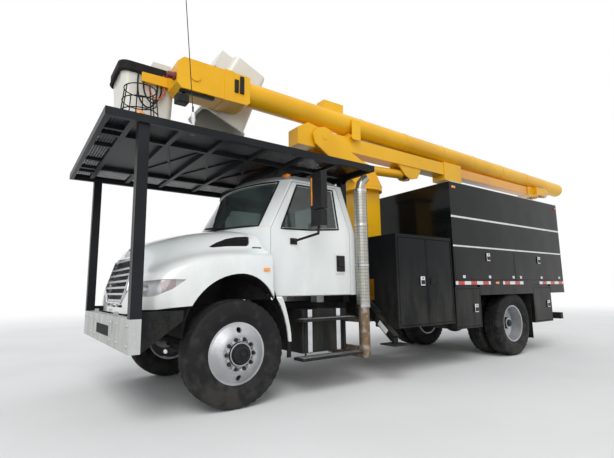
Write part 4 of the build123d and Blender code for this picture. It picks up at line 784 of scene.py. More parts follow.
bulb = [(-0.06, 0.0), (-0.06, 0.012), (-0.02, 0.010), (-0.012, 0.0)]
clear_out = 1.3  # sideways, well outside the hood
both_lenses = []
for side, name in sides:
    lens = lamps[name]
    backing = twin(lens, (-0.050, -side * 0.030, 0))
    settle(backing, f"lamp_backing_{name}", "hood_assembly", "grille_plastic", "lamp_silver")
    wing_room = block((X(0.60), -1.3, 1.0), (X(0.72), 1.3, 1.3))
    wing = cut(twin(lens, (-0.014, -side * 0.020, 0)), wing_room, "INTERSECT")
    settle(wing, f"lamp_wing_{name}", "hood_assembly", "amber_lens", "rose_lens")
    bowls = []
    for ahead, out, radius in ((0.868, 0.735, 0.060), (0.846, 0.865, 0.052)):
        bowl = [(-0.060, 0.0), (-0.056, 0.4 * radius), (-0.036, 0.8 * radius), (0.0, radius),
                (0.004, radius + 0.005), (-0.042, 0.82 * radius + 0.006), (-0.066, 0.0)]
        for profile, steps in ((bowl, 32), (bulb, 16)):
            bowls.append(turned(profile, (X(ahead), side * out, 1.145), (1, 0, 0), steps))
    settle(join(bowls), f"lamp_bowls_{name}", "hood_assembly", "machined_steel", "chrome")
    both_lenses.append(lens)
settle(join(both_lenses), "lamp_lenses", "hood_assembly", "lens", angle=30, stands_for=("headlights",))
print("headlamps made")

# %% Vents, grille frame and markers
for side, name in sides:
    panel = vents[name]
    bpy.context.view_layer.update()
    bars = []
    inward = Vector((0, -side, 0))
    for height in (1.604, 1.622, 1.640, 1.658, 1.676):
        hits = [on_skin(panel, (X(-0.26 + 0.02 * i), side * clear_out, height), inward)[0] for i in range(26)]
        line = [place + inward * 0.012 for place in hits if place]
        if len(line) > 2:
            bars.append(wire(line, 0.0045))
    panel.data.transform(Matrix.Translation(inward * 0.024))
    settle(join([panel] + bars), f"hood_vent_{name}", "hood_assembly", "mirror_shell")
    marker = block((X(-0.380), side * 1.094, 1.326), (X(-0.306), side * 1.114, 1.360), 0.006, 3)
    settle(marker, f"fender_marker_{name}", "hood_assembly", "amber_lens")
    rear, front = [on_skin(hood, (X(x), side * clear_out, 1.582), inward)[0] + inward * 0.004
                   for x in (-0.350, -0.245)]
    rise = Vector((0, 0, 0.011))
    bare = plate([rear - rise, front - rise, front + rise, rear + rise], inward * -0.008, 0.0015)
    settle(bare, f"hood_side_plate_{name}", "hood_assembly", "mirror_shell", "navy")
frame_line = [(y * 1.035, 1.27 + (z - 1.27) * 1.055) for y, z in grille_line]
surround = bead(hood, [(X(1.6), y, z) for y, z in along(frame_line, 0.035)], (-1, 0, 0), 0.014)
settle(surround, "grille_surround", "hood_assembly", "grille_plastic", "chrome")
place, normal = on_skin(hood, (X(1.6), 0, 1.560), (-1, 0, 0))
disc = [(-0.004, 0.0), (-0.004, 0.050), (0.004, 0.052), (0.009, 0.047), (0.011, 0.0)]
badge = turned(disc, place, normal, 40)
settle(badge, "hood_badge", "hood_assembly", "grille_plastic", "chrome")
print("vents, grille frame and badge made")

# %% [markdown]
# ## Fender skirts and wheel liners
# Behind the wheel the fender ends in a white strip with a black rubber flap. A curved liner over the wheel
# hides the engine from outside, as the real plastic one does.

# %% Skirts and liners
lip_line = [(-0.415, 1.085), (-0.470, 1.030), (-0.525, 0.950), (-0.565, 0.850), (-0.592, 0.750),
            (-0.608, 0.660), (-0.616, 0.580)]
skirt_line = [(-0.395, 1.14), (-0.440, 1.14), (-0.440, 1.045), (-0.548, 1.045), (-0.582, 0.945),
              (-0.612, 0.84), (-0.635, 0.74), (-0.648, 0.66), (-0.652, 0.58)] + lip_line[::-1]
flap_line = [(-0.650, 0.590), (-0.650, 0.415), (-0.600, 0.415), (-0.603, 0.50), (-0.612, 0.590)]
liner_line = arch_top + [(x * 1.012, 0.62 + (z - 0.62) * 1.012) for x, z in reversed(arch_top)]
guard_line = [(-0.445, 1.045), (-0.545, 0.90), (-0.600, 0.76), (-0.625, 0.60), (-0.617, 0.60), (-0.592, 0.76),
              (-0.537, 0.90), (-0.437, 1.045)]
edge_line = lip_line + [(x + 0.007, z) for x, z in reversed(lip_line)]


def arch_height(ahead):
    """Height of the wheel arch at a distance from the front axle."""
    for (x0, z0), (x1, z1) in zip(arch_top, arch_top[1:]):
        if x1 <= ahead <= x0:
            return z0 + (z1 - z0) * (ahead - x0) / (x1 - x0)
    return arch_top[-1][1]


def cowl_shade_sheet(side):
    """Painted shade: a thin black sheet in front of the cab's lower cowl, from its sill up to the wheel
    liner, standing for the dark space behind the wheel arch.
    """
    points = []
    steps = 12
    for i in range(steps + 1):
        out = 0.46 + 0.575 * i / steps
        ahead = cowl_x(out) - cowl_gap + 0.003
        points += [(ahead, side * out, 1.030), (ahead, side * out, arch_height(ahead - front_axle) - 0.012)]
    sheet = drawn(points, faces=[(2 * i, 2 * i + 2, 2 * i + 3, 2 * i + 1) for i in range(steps)])
    apply(sheet, "SOLIDIFY", thickness=0.004, offset=0.0)
    return edited(face_out)


for side, name in sides:
    skirt = side_plate(skirt_line, side * 1.078, side * 1.098, 0.003)
    settle(skirt, f"fender_skirt_{name}", "hood_assembly", "white_paint")
    flap = side_plate(flap_line, side * 1.076, side * 1.094, 0.004)
    settle(flap, f"fender_flap_{name}", "hood_assembly", "flap_rubber")
    liner = side_plate(liner_line, side * 0.50, side * 1.075)
    edge = side_plate(edge_line, side * 1.022, side * 1.079)
    settle(join([liner, edge]), f"wheel_liner_{name}", "hood_assembly", "flap_rubber")
    guard = side_plate(guard_line, side * 0.50, side * 1.005, 0.002)
    # The guard is joined with the black sheet of painted shade in front of the cowl.
    settle(join([guard, cowl_shade_sheet(side)]), f"splash_guard_and_shade_sheet_{name}", "chassis", "flap_rubber")
print("skirts and liners made")

# %% [markdown]
# ## Cab
# The pressed cab is the CAD shell again with its edges rolled over; a rubber seal is laid along each window
# by dropping its outline on the skin, as a seal is fitted to a real pane.

# %% Cab skin and seals


def merged_copy(node):
    """A CAD part's mesh as one closed skin of flat faces, to be softened as a new piece."""
    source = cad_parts[node]
    piece = source.copy()
    piece.data = source.data.copy()
    piece.parent = None
    for key in list(piece.keys()):
        del piece[key]
    bpy.context.scene.collection.objects.link(piece)
    skin = bmesh.new()
    skin.from_mesh(piece.data)
    bmesh.ops.remove_doubles(skin, verts=skin.verts, dist=0.00002)
    bmesh.ops.dissolve_limit(skin, angle_limit=radians(0.6), verts=skin.verts, edges=skin.edges)
    skin.to_mesh(piece.data)
    skin.free()
    if "custom_normal" in piece.data.attributes:
        piece.data.attributes.remove(piece.data.attributes["custom_normal"])
    return piece


def softened(node, name, body, width, slot, segments=2, angle=35):
    """The CAD part again with its edges bevelled, standing for the hard one."""
    piece = merged_copy(node)
    apply(piece, "BEVEL", width=width, segments=segments, limit_method="ANGLE", angle_limit=radians(angle),
          use_clamp_overlap=True)
    return settle(piece, name, body, slot, angle=30, stands_for=(node,))


cab = softened("cab_shell", "cab_body", "chassis", 0.016, "white_paint", 3, 20)
bpy.context.view_layer.update()
screen_line = [(-0.885, 1.845), (0.885, 1.845), (0.803, 2.415), (-0.803, 2.415)]
seal = bead(cab, [(X(1.5), y, z) for y, z in along(screen_line, 0.05)], (-1, 0, 0), 0.013)
settle(seal, "windscreen_seal", "chassis", "flap_rubber")
back_line = [(-0.575, 1.845), (0.575, 1.845), (0.535, 2.305), (-0.535, 2.305)]
seal = bead(cab, [(X(-3.0), y, z) for y, z in along(back_line, 0.06)], (1, 0, 0), 0.011)
settle(seal, "rear_window_seal", "chassis", "flap_rubber")
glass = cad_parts["cab_glass"]
for name, foot, tip in (("driver", 0.50, -0.02), ("crew", -0.22, -0.74)):
    line = []
    for share in [i / 8 for i in range(9)]:
        start = (X(1.5), foot + (tip - foot) * share, 1.842 + 0.05 * share)
        spot = on_skin(cab, start, (-1, 0, 0))[0] or on_skin(glass, start, (-1, 0, 0))[0]
        if spot:
            line.append(spot + Vector((0.035, 0, 0)))
    blade = wire([place + Vector((-0.012, 0, 0.012)) for place in line[2:]], 0.009)
    settle(join([wire(line, 0.006), blade]), f"wiper_{name}", "chassis", "flap_rubber")
print("cab skin:", len(cab.data.polygons), "faces")

# %% Roof markers and doors
marker_low = Vector((-0.030, -0.052, -0.006))
marker_high = Vector((0.035, 0.052, 0.030))
lamp_row = []
for out in (-0.70, -0.17, 0.0, 0.17, 0.70):
    spot, _ = on_skin(cab, (X(-0.86), out, 2.60), (0, 0, -1))
    lamp_row.append(block(spot + marker_low, spot + marker_high, 0.010, 3))
settle(join(lamp_row), "roof_markers", "chassis", "amber_lens")
side_window = [(-0.580, 1.815), (-0.866, 2.374), (-1.410, 2.374), (-1.424, 1.863), (-1.0, 1.826)]
for side, name in sides:
    body = f"cab_door_{name}"
    skin = softened(f"door_{name}", f"door_skin_{name}", body, 0.006, "white_paint", angle=25)
    bpy.context.view_layer.update()
    seal = bead(skin, [(X(x), side * 1.5, z) for x, z in along(side_window, 0.05)], (0, -side, 0), 0.011)
    settle(seal, f"door_seal_{name}", body, "flap_rubber")
    pull = block((X(-1.488), side * 1.0285, 1.34), (X(-1.360), side * 1.044, 1.535), 0.007, 3)
    paddle = block((X(-1.470), side * 1.044, 1.40), (X(-1.378), side * 1.056, 1.475), 0.005, 3)
    settle(join([pull, paddle]), f"door_handle_{name}", body, "mirror_shell")
print("doors dressed")

# %% Mirrors
mirror_glass = Finish("mirror silver", Metallic=1.0)
finishes["mirror_glass"] = mirror_glass.material
film = mirror_glass.ramp(mirror_glass.noise(6, 3), 0.4, 0.8)
mirror_glass.feed("Base Color", mirror_glass.mix(film, (0.80, 0.82, 0.84), (0.70, 0.72, 0.74)))
mirror_glass.feed("Roughness", film * 0.05 + 0.01)
for side, name in sides:
    body = f"cab_door_{name}"
    softened(f"mirror_{name}", f"mirror_skin_{name}", body, 0.014, "mirror_shell", 3, 40)
    panes = [block((X(-0.9245), side * 1.240, low), (X(-0.9200), side * 1.410, high), 0.0015, 1)
             for low, high in ((2.030, 2.410), (1.838, 1.982))]
    settle(join(panes), f"mirror_glass_{name}", body, "mirror_shell", "mirror_glass")
    strip = block((X(-0.884), side * 1.221, 2.06), (X(-0.850), side * 1.2265, 2.38), 0.002)
    front = block((X(-0.8405), side * 1.238, 2.06), (X(-0.8345), side * 1.262, 2.38), 0.002)
    settle(join([strip, front]), f"mirror_marker_{name}", body, "amber_lens")
print("mirrors dressed")

# %% [markdown]
# ## Seats, dash and steering wheel
# The cushions are soft, so they are blown up as cloth: a blocky form is remeshed finely, and pressure from
# the inside rounds it until the cover is tight. The dash is one moulding drawn in side view.

# %% Seats
swell_cap = 0.024


def puffed(low, high):
    """A soft pad: a block's cover, blown up by cloth pressure, with a cap on how far a point may move."""
    pad = block(low, high, 0.035, 3)
    apply(pad, "REMESH", mode="VOXEL", voxel_size=0.018)
    before = [vert.co.copy() for vert in pad.data.vertices]
    cloth = pad.modifiers.new("cloth", "CLOTH")
    cloth.settings.use_pressure = True
    cloth.settings.uniform_pressure_force = 4.0
    cloth.settings.effector_weights.gravity = 0.0
    for frame_number in range(1, 21):
        bpy.context.scene.frame_set(frame_number)
    bpy.ops.object.modifier_apply(modifier=cloth.name)
    bpy.context.scene.frame_set(1)
    for vert, old in zip(pad.data.vertices, before):
        move = vert.co - old
        if move.length > swell_cap:
            vert.co = old + move * (swell_cap / move.length)
    apply(pad, "SUBSURF", levels=1, render_levels=1)
    bpy.ops.object.shade_smooth()
    return pad


pad_table = (
    # name, then its two corners: ahead, sideways from the seat's middle, height
    ("cushion", (-1.47, -0.25, 1.29), (-1.03, 0.25, 1.405)),
    ("back", (-1.50, -0.24, 1.42), (-1.39, 0.24, 1.88)),
    ("rest", (-1.49, -0.13, 1.89), (-1.41, 0.13, 2.04)),
)
for name, middle in (("driver", 0.48), ("crew", -0.48)):
    pads = [(part, puffed(*[(X(ahead), middle + out, height) for ahead, out, height in corners]))
            for part, *corners in pad_table]
    for part, pad in pads:
        settle(pad, f"seat_{part}_{name}", "chassis", "interior", "seat_cloth", 60)
    base = block((X(-1.42), middle - 0.20, 1.125), (X(-1.06), middle + 0.20, 1.30), 0.02, 3)
    shell = block((X(-1.535), middle - 0.21, 1.30), (X(-1.495), middle + 0.21, 1.86), 0.015, 3)
    settle(join([base, shell]), f"seat_base_{name}", "chassis", "interior")
print("seats made")

# %% Dash and steering wheel
dash_line = [(-0.475, 1.44), (-0.475, 1.77), (-0.52, 1.80), (-0.60, 1.79), (-0.72, 1.74), (-0.76, 1.70),
             (-0.745, 1.60), (-0.70, 1.56), (-0.70, 1.46), (-0.62, 1.42)]
dials_line = [(-0.58, 1.77), (-0.60, 1.84), (-0.72, 1.83), (-0.75, 1.78)]
moulding = [side_plate(dash_line, -0.90, 0.90, 0.012), side_plate(dials_line, 0.26, 0.72, 0.012),
            block((X(-0.78), -0.10, 1.14), (X(-0.60), 0.18, 1.50), 0.03, 3)]
settle(join(moulding), "dash", "chassis", "interior", angle=30, stands_for=("cab_interior",))
wheel_centre = Vector((X(-0.90), 0.48, 1.76))
wheel_axis = Vector((-0.240, 0, 0.160)).normalized()
across = Vector((0, 1, 0))
upward = wheel_axis.cross(across)


def on_rim(turn, radius=0.200):
    """A point on the steering wheel's rim."""
    return wheel_centre + (across * cos(turn) + upward * sin(turn)) * radius


pieces = [wire([on_rim(2 * pi * i / 32) for i in range(32)], 0.014, closed=True)]
for turn in (0.15, pi - 0.15, 1.5 * pi, 0.5 * pi):
    end = on_rim(turn, 0.198)
    bend = wheel_centre.lerp(end, 0.5) - wheel_axis * 0.022
    pieces.append(wire([wheel_centre - wheel_axis * 0.030, bend, end], 0.010, smooth=True))
horn_pad = [(-0.055, 0.0), (-0.055, 0.045), (-0.030, 0.055), (-0.012, 0.045), (-0.010, 0.0)]
pieces.append(turned(horn_pad, wheel_centre, wheel_axis, 24))
pieces.append(wire([wheel_centre - wheel_axis * 0.05, wheel_centre - wheel_axis * 0.24], 0.030))
settle(join(pieces), "steering_wheel", "chassis", "interior", "mirror_shell")
print("dash and wheel made")

# %% [markdown]
# ## Canopy, beacon and antenna
# The canopy is steel sheet on square tube with long flat stiffeners; the beacon stands in a cage of bent
# wire.

# %% Canopy stiffeners and beacon
deck_under = 2.6885
bars = []
for x0, x1 in ((0.60, 0.18), (0.14, -0.32), (-0.36, -0.82), (-0.86, -1.32)):
    for side, _ in sides:
        start = Vector((X(x0), -0.62 * side, deck_under))
        end = Vector((X(x1), 0.62 * side, deck_under))
        wide = (end - start).cross(Vector((0, 0, 1))).normalized() * 0.013
        bars.append(plate([start - wide, end - wide, end + wide, start + wide], (0, 0, -0.012), 0.001, 1))
settle(join(bars), "canopy_stiffeners", "chassis", "black_paint")
foot = Vector((X(0.96), 0.90, canopy_top))
dome = turned([(0.0, 0.0), (0.0, 0.078), (0.022, 0.080), (0.026, 0.070), (0.100, 0.066), (0.140, 0.056),
               (0.160, 0.036), (0.168, 0.0)], foot, (0, 0, 1), 40)
settle(dome, "beacon_dome", "chassis", "amber_lens")


def round_beacon(turn, height, radius):
    """A point of the wire cage round the beacon."""
    return foot + Vector((radius * cos(turn), radius * sin(turn), height))


hoops = ((0.010, 0.186), (0.130, 0.172), (0.250, 0.158), (0.378, 0.146))  # height, radius
uprights = ((0.004, 0.188), (0.130, 0.172), (0.250, 0.158), (0.380, 0.144))
cage_wire = 0.0055
hoop_turns = [2 * pi * i / 36 for i in range(36)]
cage_parts = [wire([round_beacon(turn, *hoop) for turn in hoop_turns], cage_wire, closed=True)
              for hoop in hoops]
cage_parts += [wire([round_beacon(turn, *place) for place in uprights], cage_wire)
               for turn in [2 * pi * (i + 0.5) / 8 for i in range(8)]]
settle(join(cage_parts), "beacon_cage", "chassis", "black_paint", angle=40, stands_for=("beacon_guard",))
mast = turned([(-0.001, 0.0), (-0.001, 0.034), (0.012, 0.034), (0.020, 0.014), (0.120, 0.013), (0.150, 0.021),
               (0.215, 0.021), (0.240, 0.010), (0.245, 0.0)], (X(0.452), 1.0, canopy_top), (0.055, 0, 1), 20)
settle(mast, "antenna_base", "chassis", "white_paint")
whip = wire([(X(0.465), 1.0, 2.93), (X(0.515), 1.0, 3.50), (X(0.600), 1.0, 4.45)], 0.0045, smooth=True)
spring = turned([(0.0, 0.0), (0.0, 0.011), (0.03, 0.008), (0.05, 0.010), (0.07, 0.006), (0.08, 0.0)],
                (X(0.465), 1.0, 2.93), (0.055, 0, 1), 16)
settle(join([whip, spring]), "antenna_whip", "chassis", "mirror_shell")
print("canopy dressed")

# %% [markdown]
# ## Stack, tank and steps
# Clamps hold the heat shield, straps hold the tank, and each tread carries raised bars for grip.

# %% Stack clamps, tank straps and treads
clamps = []
for height in (0.925, 1.42, 1.93, 2.37):
    clamps.append(turned([(-0.014, 0.080), (-0.014, 0.0865), (0.014, 0.0865), (0.014, 0.080)],
                         (X(stack_ahead), stack_out, height), (0, 0, 1), 40))
    clamps.append(block((X(-1.745), 1.003, height - 0.012), (X(-1.699), 1.022, height + 0.012), 0.003))
settle(join(clamps), "stack_clamps", "chassis", "galvanised", "machined_steel")
treads = (
    # rear and front end ahead of the front axle, inner and outer edge, top
    (-1.545, -0.787, 1.025, 1.145, 0.8055),
    (-1.605, -0.759, 1.055, 1.175, 0.3955),
)
tread_rows = 5
tread_bars = 12
for side, name in sides:
    straps = [block((X(ahead - 0.030), side * near, low), (X(ahead + 0.030), side * 1.0045, high), 0.0015, 1)
              for ahead in (-0.97, -1.39)
              for near, low, high in ((0.9995, 0.415, 0.905), (0.52, 0.900, 0.905), (0.52, 0.415, 0.420))]
    settle(join(straps), f"tank_straps_{name}", "chassis", "machined_steel", "chrome")
    grips = []
    for x0, x1, near, far, top in treads:
        pitch = (x1 - x0) / tread_bars
        for row in range(tread_rows):
            middle = near + (far - near) * (row + 0.5) / tread_rows
            for k in range(tread_bars):
                start = x0 + pitch * k + 0.008
                end = start + pitch - 0.016
                grips.append(block((X(start), side * (middle - 0.005), top - 0.004),
                                   (X(end), side * (middle + 0.005), top + 0.004), 0.002, 1))
    settle(join(grips), f"step_grips_{name}", "chassis", "tread_plate")
print("stack, tank and steps dressed")

# %% Bumper
bolt = [(-0.002, 0.0), (-0.002, 0.016), (0.003, 0.015), (0.008, 0.010), (0.010, 0.0)]
bolts = [turned(bolt, (X(1.027), out, height), (1, 0, 0), 12)
         for out in (-1.12, -0.72, -0.42, 0.42, 0.72, 1.12) for height in (0.672, 0.842)]
settle(join(bolts), "bumper_bolts", "chassis", "machined_steel")
# Painted shade: thin black patches flush with the bumper stand for the dark inside of its recesses.
recess_shade_patches = [block((X(1.0205), -0.338, 0.697), (X(1.0255), 0.338, 0.799), 0.002, 1)]
for side, _ in sides:
    recess_shade_patches.append(block((X(0.950), side * 0.480, 0.720), (X(0.958), side * 0.560, 0.880), 0.002, 1))
settle(join(recess_shade_patches), "bumper_recess", "chassis", "flap_rubber")
softened("bumper", "bumper_skin", "chassis", 0.008, "grey_paint", angle=40)
print("bumper dressed")

# %% [markdown]
# ## Softer edges on folded and welded work
# Sheet steel is folded over a radius and weld seams are dressed, so no edge is knife sharp. Each of these
# parts is taken again from CAD with its edges bevelled by a few millimetres, which is what catches the
# light.

# %% Bevelled copies
edge_table = (
    # body, edge width in metres, slot, parts
    ("chassis", 0.006, "gloss_black", "chip_body"),
    ("chassis", 0.007, "black_paint", "cabinets"),
    ("chassis", 0.006, "gloss_black", "under_boxes"),
    ("chassis", 0.006, "yellow_paint", "pedestal"),
    ("chassis", 0.005, "black_paint", "rear_bumper"),
    ("chassis", 0.004, "black_paint", "side_steps corner_steps"),
    ("tailgate_body", 0.005, "gloss_black", "tailgate"),
    ("turntable", 0.006, "yellow_paint", "turret"),
    ("lower_arm", 0.006, "yellow_paint", "lower_boom"),
    ("lower_arm", 0.010, "insert_grp", "boom_insert"),
    ("bucket_carrier", 0.005, "yellow_paint", "platform"),
    ("bucket_carrier", 0.008, "bucket_grp", "front_bucket"),
    ("tilting_bucket", 0.008, "bucket_grp", "rear_bucket"),
)
soft = [softened(node, f"{node}_soft", body, width, slot)
        for body, width, slot, nodes in edge_table for node in nodes.split()]
for kind in ("side_locker_door", "under_box_door"):
    for end in ("front", "rear"):
        door = f"{kind}_{end}"
        soft.append(softened(door, f"{door}_soft", f"{door}_body", 0.004, "gloss_black"))
for _, name in sides:
    for end in ("front", "rear"):
        door = f"cabinet_door_{end}_{name}"
        soft.append(softened(door, f"{door}_soft", f"{door}_body", 0.005, "black_paint"))
    leg = f"outrigger_{name}"
    soft.append(softened(leg, f"{leg}_soft", f"outrigger_body_{name}", 0.005, "black_paint"))
print("softened parts:", len(soft))

# %% [markdown]
# ## Latches, hinges and rails of the body
# Each latch is a pressed chrome dish with a black paddle and a round lock. The piano hinges are one grooved
# bar each, spun like a turned part, and reflective tape runs along the sill in red and white.

# %% Latches
side_face = 1.220
latch_plates = (
    # half length, inner and outer face, lower and upper edge: the dish, then the paddle
    (0.045, 1.2305, 1.2390, -0.062, 0.062),
    (0.034, 1.2370, 1.2450, -0.046, 0.012),
)
lock_profile = [(0.0, 0.0), (0.0, 0.012), (0.004, 0.011), (0.006, 0.0)]


def latch(ahead, side, height):
    """A paddle latch with a round lock, standing on the raised pad of a door."""
    pieces = [block((X(ahead - half), side * near, height + low),
                    (X(ahead + half), side * far, height + high))
              for half, near, far, low, high in latch_plates]
    pieces.append(turned(lock_profile, (X(ahead), side * 1.2385, height + 0.038), (0, side, 0), 16))
    for piece, look in zip(pieces, ("chrome", "mirror_shell", "mirror_shell")):
        piece.data.materials.append(finishes[look])
    return join(pieces)


latch_table = [("side_locker_front", "side_locker_door_front_body", -4.360, 1, 1.605),
               ("side_locker_rear", "side_locker_door_rear_body", -6.024, 1, 1.605),
               ("under_box_front", "under_box_door_front_body", -3.935, 1, 0.819),
               ("under_box_rear", "under_box_door_rear_body", -6.250, 1, 0.819)]
for side, name in sides:
    latch_table.append((f"cabinet_{name}", f"cabinet_door_front_{name}_body", -2.709, side, 1.224))
for label, body, *place in latch_table:
    settle(latch(*place), f"latch_{label}", body, "machined_steel", "own")
rivet = [(0.0, 0.0), (0.0, 0.010), (0.005, 0.009), (0.008, 0.0)]
for end, places in (("front", (-3.684, -4.379, -5.101)), ("rear", (-5.344, -6.086, -6.794))):
    tabs = [block((X(ahead - 0.032), 1.2195, 1.268), (X(ahead + 0.032), 1.2275, 1.312), 0.003)
            for ahead in places]
    tabs += [turned(rivet, (X(ahead), 1.2270, 1.296), (0, 1, 0), 12) for ahead in places]
    settle(join(tabs), f"hinge_tabs_{end}", f"side_locker_door_{end}_body", "machined_steel", "chrome")
lockers = ((-5.162, -3.485), (-6.935, -5.188))
closed = []
for x0, x1 in lockers:
    middle = (x0 + x1) / 2
    closed.append(block((X(x0), -side_face + 0.001, 1.250), (X(x1), -side_face - 0.004, 1.735), 0.0015, 1))
    closed.append(block((X(middle - 0.055), -side_face - 0.003, 1.560),
                        (X(middle + 0.055), -side_face - 0.012, 1.650), 0.002, 1))
settle(join(closed), "right_locker_plates", "chassis", "gloss_black")
for end, ahead in (("front", -4.3235), ("rear", -6.0615)):
    settle(latch(ahead, -1, 1.605), f"latch_right_{end}", "chassis", "machined_steel", "own")
print("latches:", len(latch_table) + 2)

# %% Piano hinges, rails and tape
knuckle = 0.06


def piano_hinge(start, length, axis, radius=0.008):
    """A row of hinge knuckles as one turned bar with a groove between them."""
    profile = [(0.0, 0.0)]
    for i in range(round(length / knuckle)):
        low = i * knuckle
        profile += [(low + 0.001, radius), (low + 0.058, radius), (low + 0.0585, 0.7 * radius),
                    (low + 0.0605, 0.7 * radius)]
    profile.append((profile[-1][0], 0.0))
    return turned(profile, start, axis, 12)


hinge_out = side_face + 0.0015
hinges = [piano_hinge((X(x0), side * hinge_out, 1.2395), x1 - x0, (1, 0, 0))
          for x0, x1 in lockers for side, _ in sides]
settle(join(hinges), "locker_hinges", "chassis", "gloss_black")
hinges = [piano_hinge((X(ahead), side * hinge_out, 0.66), 1.14, (0, 0, 1), 0.007)
          for side, _ in sides for ahead in (-2.258, -3.382)]
settle(join(hinges), "cabinet_hinges", "chassis", "black_paint")
rails = []
for side, _ in sides:
    for z0, z1 in ((2.183, 2.214), (1.738, 1.764)):
        rails.append(block((X(-3.458), side * 1.2185, z0), (X(-6.962), side * 1.2255, z1), 0.002, 1))
    rails.append(block((X(-3.452), side * 1.150, 2.733), (X(-6.968), side * 1.2225, 2.744), 0.003))
settle(join(rails), "body_rails", "chassis", "tread_plate", "chrome")
tape_finish = Finish("reflective tape", Coat_Weight=0.6)
finishes["tape"] = tape_finish.material
share = tape_finish.math("FRACT", (tape_finish.x + tape_finish.y) * 3.1 + 50)
stripe = share > 0.5
comb = tape_finish.cells(420)
tape_finish.feed("Base Color", tape_finish.mix(stripe, (0.50, 0.012, 0.015), (0.72, 0.72, 0.70)))
tape_finish.feed("Roughness", comb * 0.25 + 0.25)
tapes = [block((X(x0), side * 1.2195, 1.170), (X(x1), side * 1.2213, 1.222), 0.0005, 1)
         for side, _ in sides for x0, x1 in ((-3.470, -4.395), (-4.762, -5.421), (-5.999, -6.985))]
tapes.append(block((X(-7.0895), -1.05, 0.53), (X(-7.0915), 1.05, 0.585), 0.0005, 1))
settle(join(tapes), "reflective_tape", "chassis", "red_lens", "tape")
for colour, places in (("amber", ((-3.55, 2.655), (-4.58, 1.197))), ("red", ((-6.90, 2.655),))):
    markers = [block((X(ahead - 0.045), side * 1.218, height - 0.018),
                     (X(ahead + 0.045), side * 1.236, height + 0.018), 0.007, 3)
               for side, _ in sides for ahead, height in places]
    settle(join(markers), f"body_markers_{colour}", "chassis", f"{colour}_lens")
print("hinges, rails, tape and markers made")

# %% [markdown]
# ## Boom details
# The boom's tip carries a welded collar, black bracket plates, a valve box and a motor; a conduit with
# clips follows the upper tube, and three hoses lie on the lower boom.

# %% Boom tip and hoses
boom_ends = ((-0.560, 3.847), (-10.120, 3.691))  # the upper boom's axis: ahead, height


def boom_axis(ahead):
    """Height of the upper boom's axis."""
    (x0, z0), (x1, z1) = boom_ends
    return z0 + (ahead - x0) * (z1 - z0) / (x1 - x0)


collar = cut(block((X(-0.377), -0.190, 3.590), (X(-0.241), 0.190, 4.022), 0.006),
             block((X(-0.400), -0.176, 3.604), (X(-0.220), 0.176, 4.008), 0.0005, 1))
settle(collar, "tip_collar", "upper_arm", "yellow_paint")
brackets = [block((X(-0.520), 0.176, 3.735), (X(-0.462), 0.202, 3.980), 0.006),
            block((X(-0.440), 0.176, 3.735), (X(-0.386), 0.202, 3.915), 0.006),
            block((X(-0.120), 0.090, 3.570), (X(0.330), 0.150, 3.603), 0.006),
            block((X(0.215), 0.030, 3.425), (X(0.365), 0.165, 3.535), 0.010, 3),
            block((X(0.250), 0.085, 3.525), (X(0.290), 0.115, 3.605), 0.004)]
settle(join(brackets), "tip_brackets", "upper_arm", "mirror_shell")
motor = turned([(-0.02, 0.0), (-0.02, 0.050), (0.02, 0.052), (0.03, 0.043), (0.09, 0.043), (0.10, 0.034),
                (0.105, 0.0)], (X(0.385), 0.105, 3.760), (1, 0, 0), 32)
settle(motor, "tip_motor", "upper_arm", "red_lens", "maroon")
line = [Vector((X(ahead), 0.0, boom_axis(ahead))) for ahead in [-2.40 - 0.36 * i for i in range(20)]]
conduit_rise = Vector((0, 0, 0.184))
parts = [wire([place + conduit_rise for place in line], 0.013)]
clip = [(-0.018, 0.1685), (-0.018, 0.1735), (0.018, 0.1735), (0.018, 0.1685)]
parts += [turned(clip, place, (1, 0, 0.0163)) for place in line[1:19:3]]
settle(join(parts), "boom_conduit", "upper_arm", "yellow_paint")
hose_line = ((-2.55, 3.566), (-2.60, 3.574), (-5.10, 3.574), (-5.20, 3.566))
hoses = [wire([(X(ahead), out, height) for ahead, height in hose_line], 0.011, smooth=True)
         for out in (-0.055, 0.0, 0.055)]
hoses.append(block((X(-2.70), -0.085, 3.558), (X(-2.54), 0.085, 3.592), 0.006))
hoses.append(block((X(-5.28), -0.085, 3.556), (X(-5.12), 0.085, 3.586), 0.006))
settle(join(hoses), "lower_boom_hoses", "lower_arm", "flap_rubber")
loops = []
for x0, x1, low in ((0.47, 0.66, 3.52), (0.52, 0.73, 3.45), (0.43, 0.60, 3.58)):
    line = ((x0, -0.232, 3.90), (x0 - 0.03, -0.214, 3.70), (x0 + 0.02, -0.205, low),
            ((x0 + x1) / 2, -0.200, low - 0.06), (x1, -0.205, low + 0.05), (x1 + 0.02, -0.214, 3.75),
            (x1, -0.232, 3.86))
    loops.append(wire([(X(x), y, z) for x, y, z in line], 0.010, smooth=True))
settle(loops.pop(), "bucket_hose_orange", "bucket_carrier", "flap_rubber", "hose_orange")
settle(join(loops), "bucket_hoses", "bucket_carrier", "flap_rubber")
print("boom dressed")

# %% [markdown]
# ## Buckets
# The buckets are laid up in glass fibre. The front one has a black edge cover strapped round its rim.

# %% Bucket rim


def rounded(middle, half, corner, height):
    """A rounded rectangle in plan, as 3-D points."""
    found = []
    for index, (sx, sy) in enumerate(((1, 1), (-1, 1), (-1, -1), (1, -1))):
        for i in range(7):
            a = pi / 2 * (index + i / 6)
            found.append((middle[0] + sx * (half[0] - corner) + corner * cos(a),
                          middle[1] + sy * (half[1] - corner) + corner * sin(a), height))
    return found


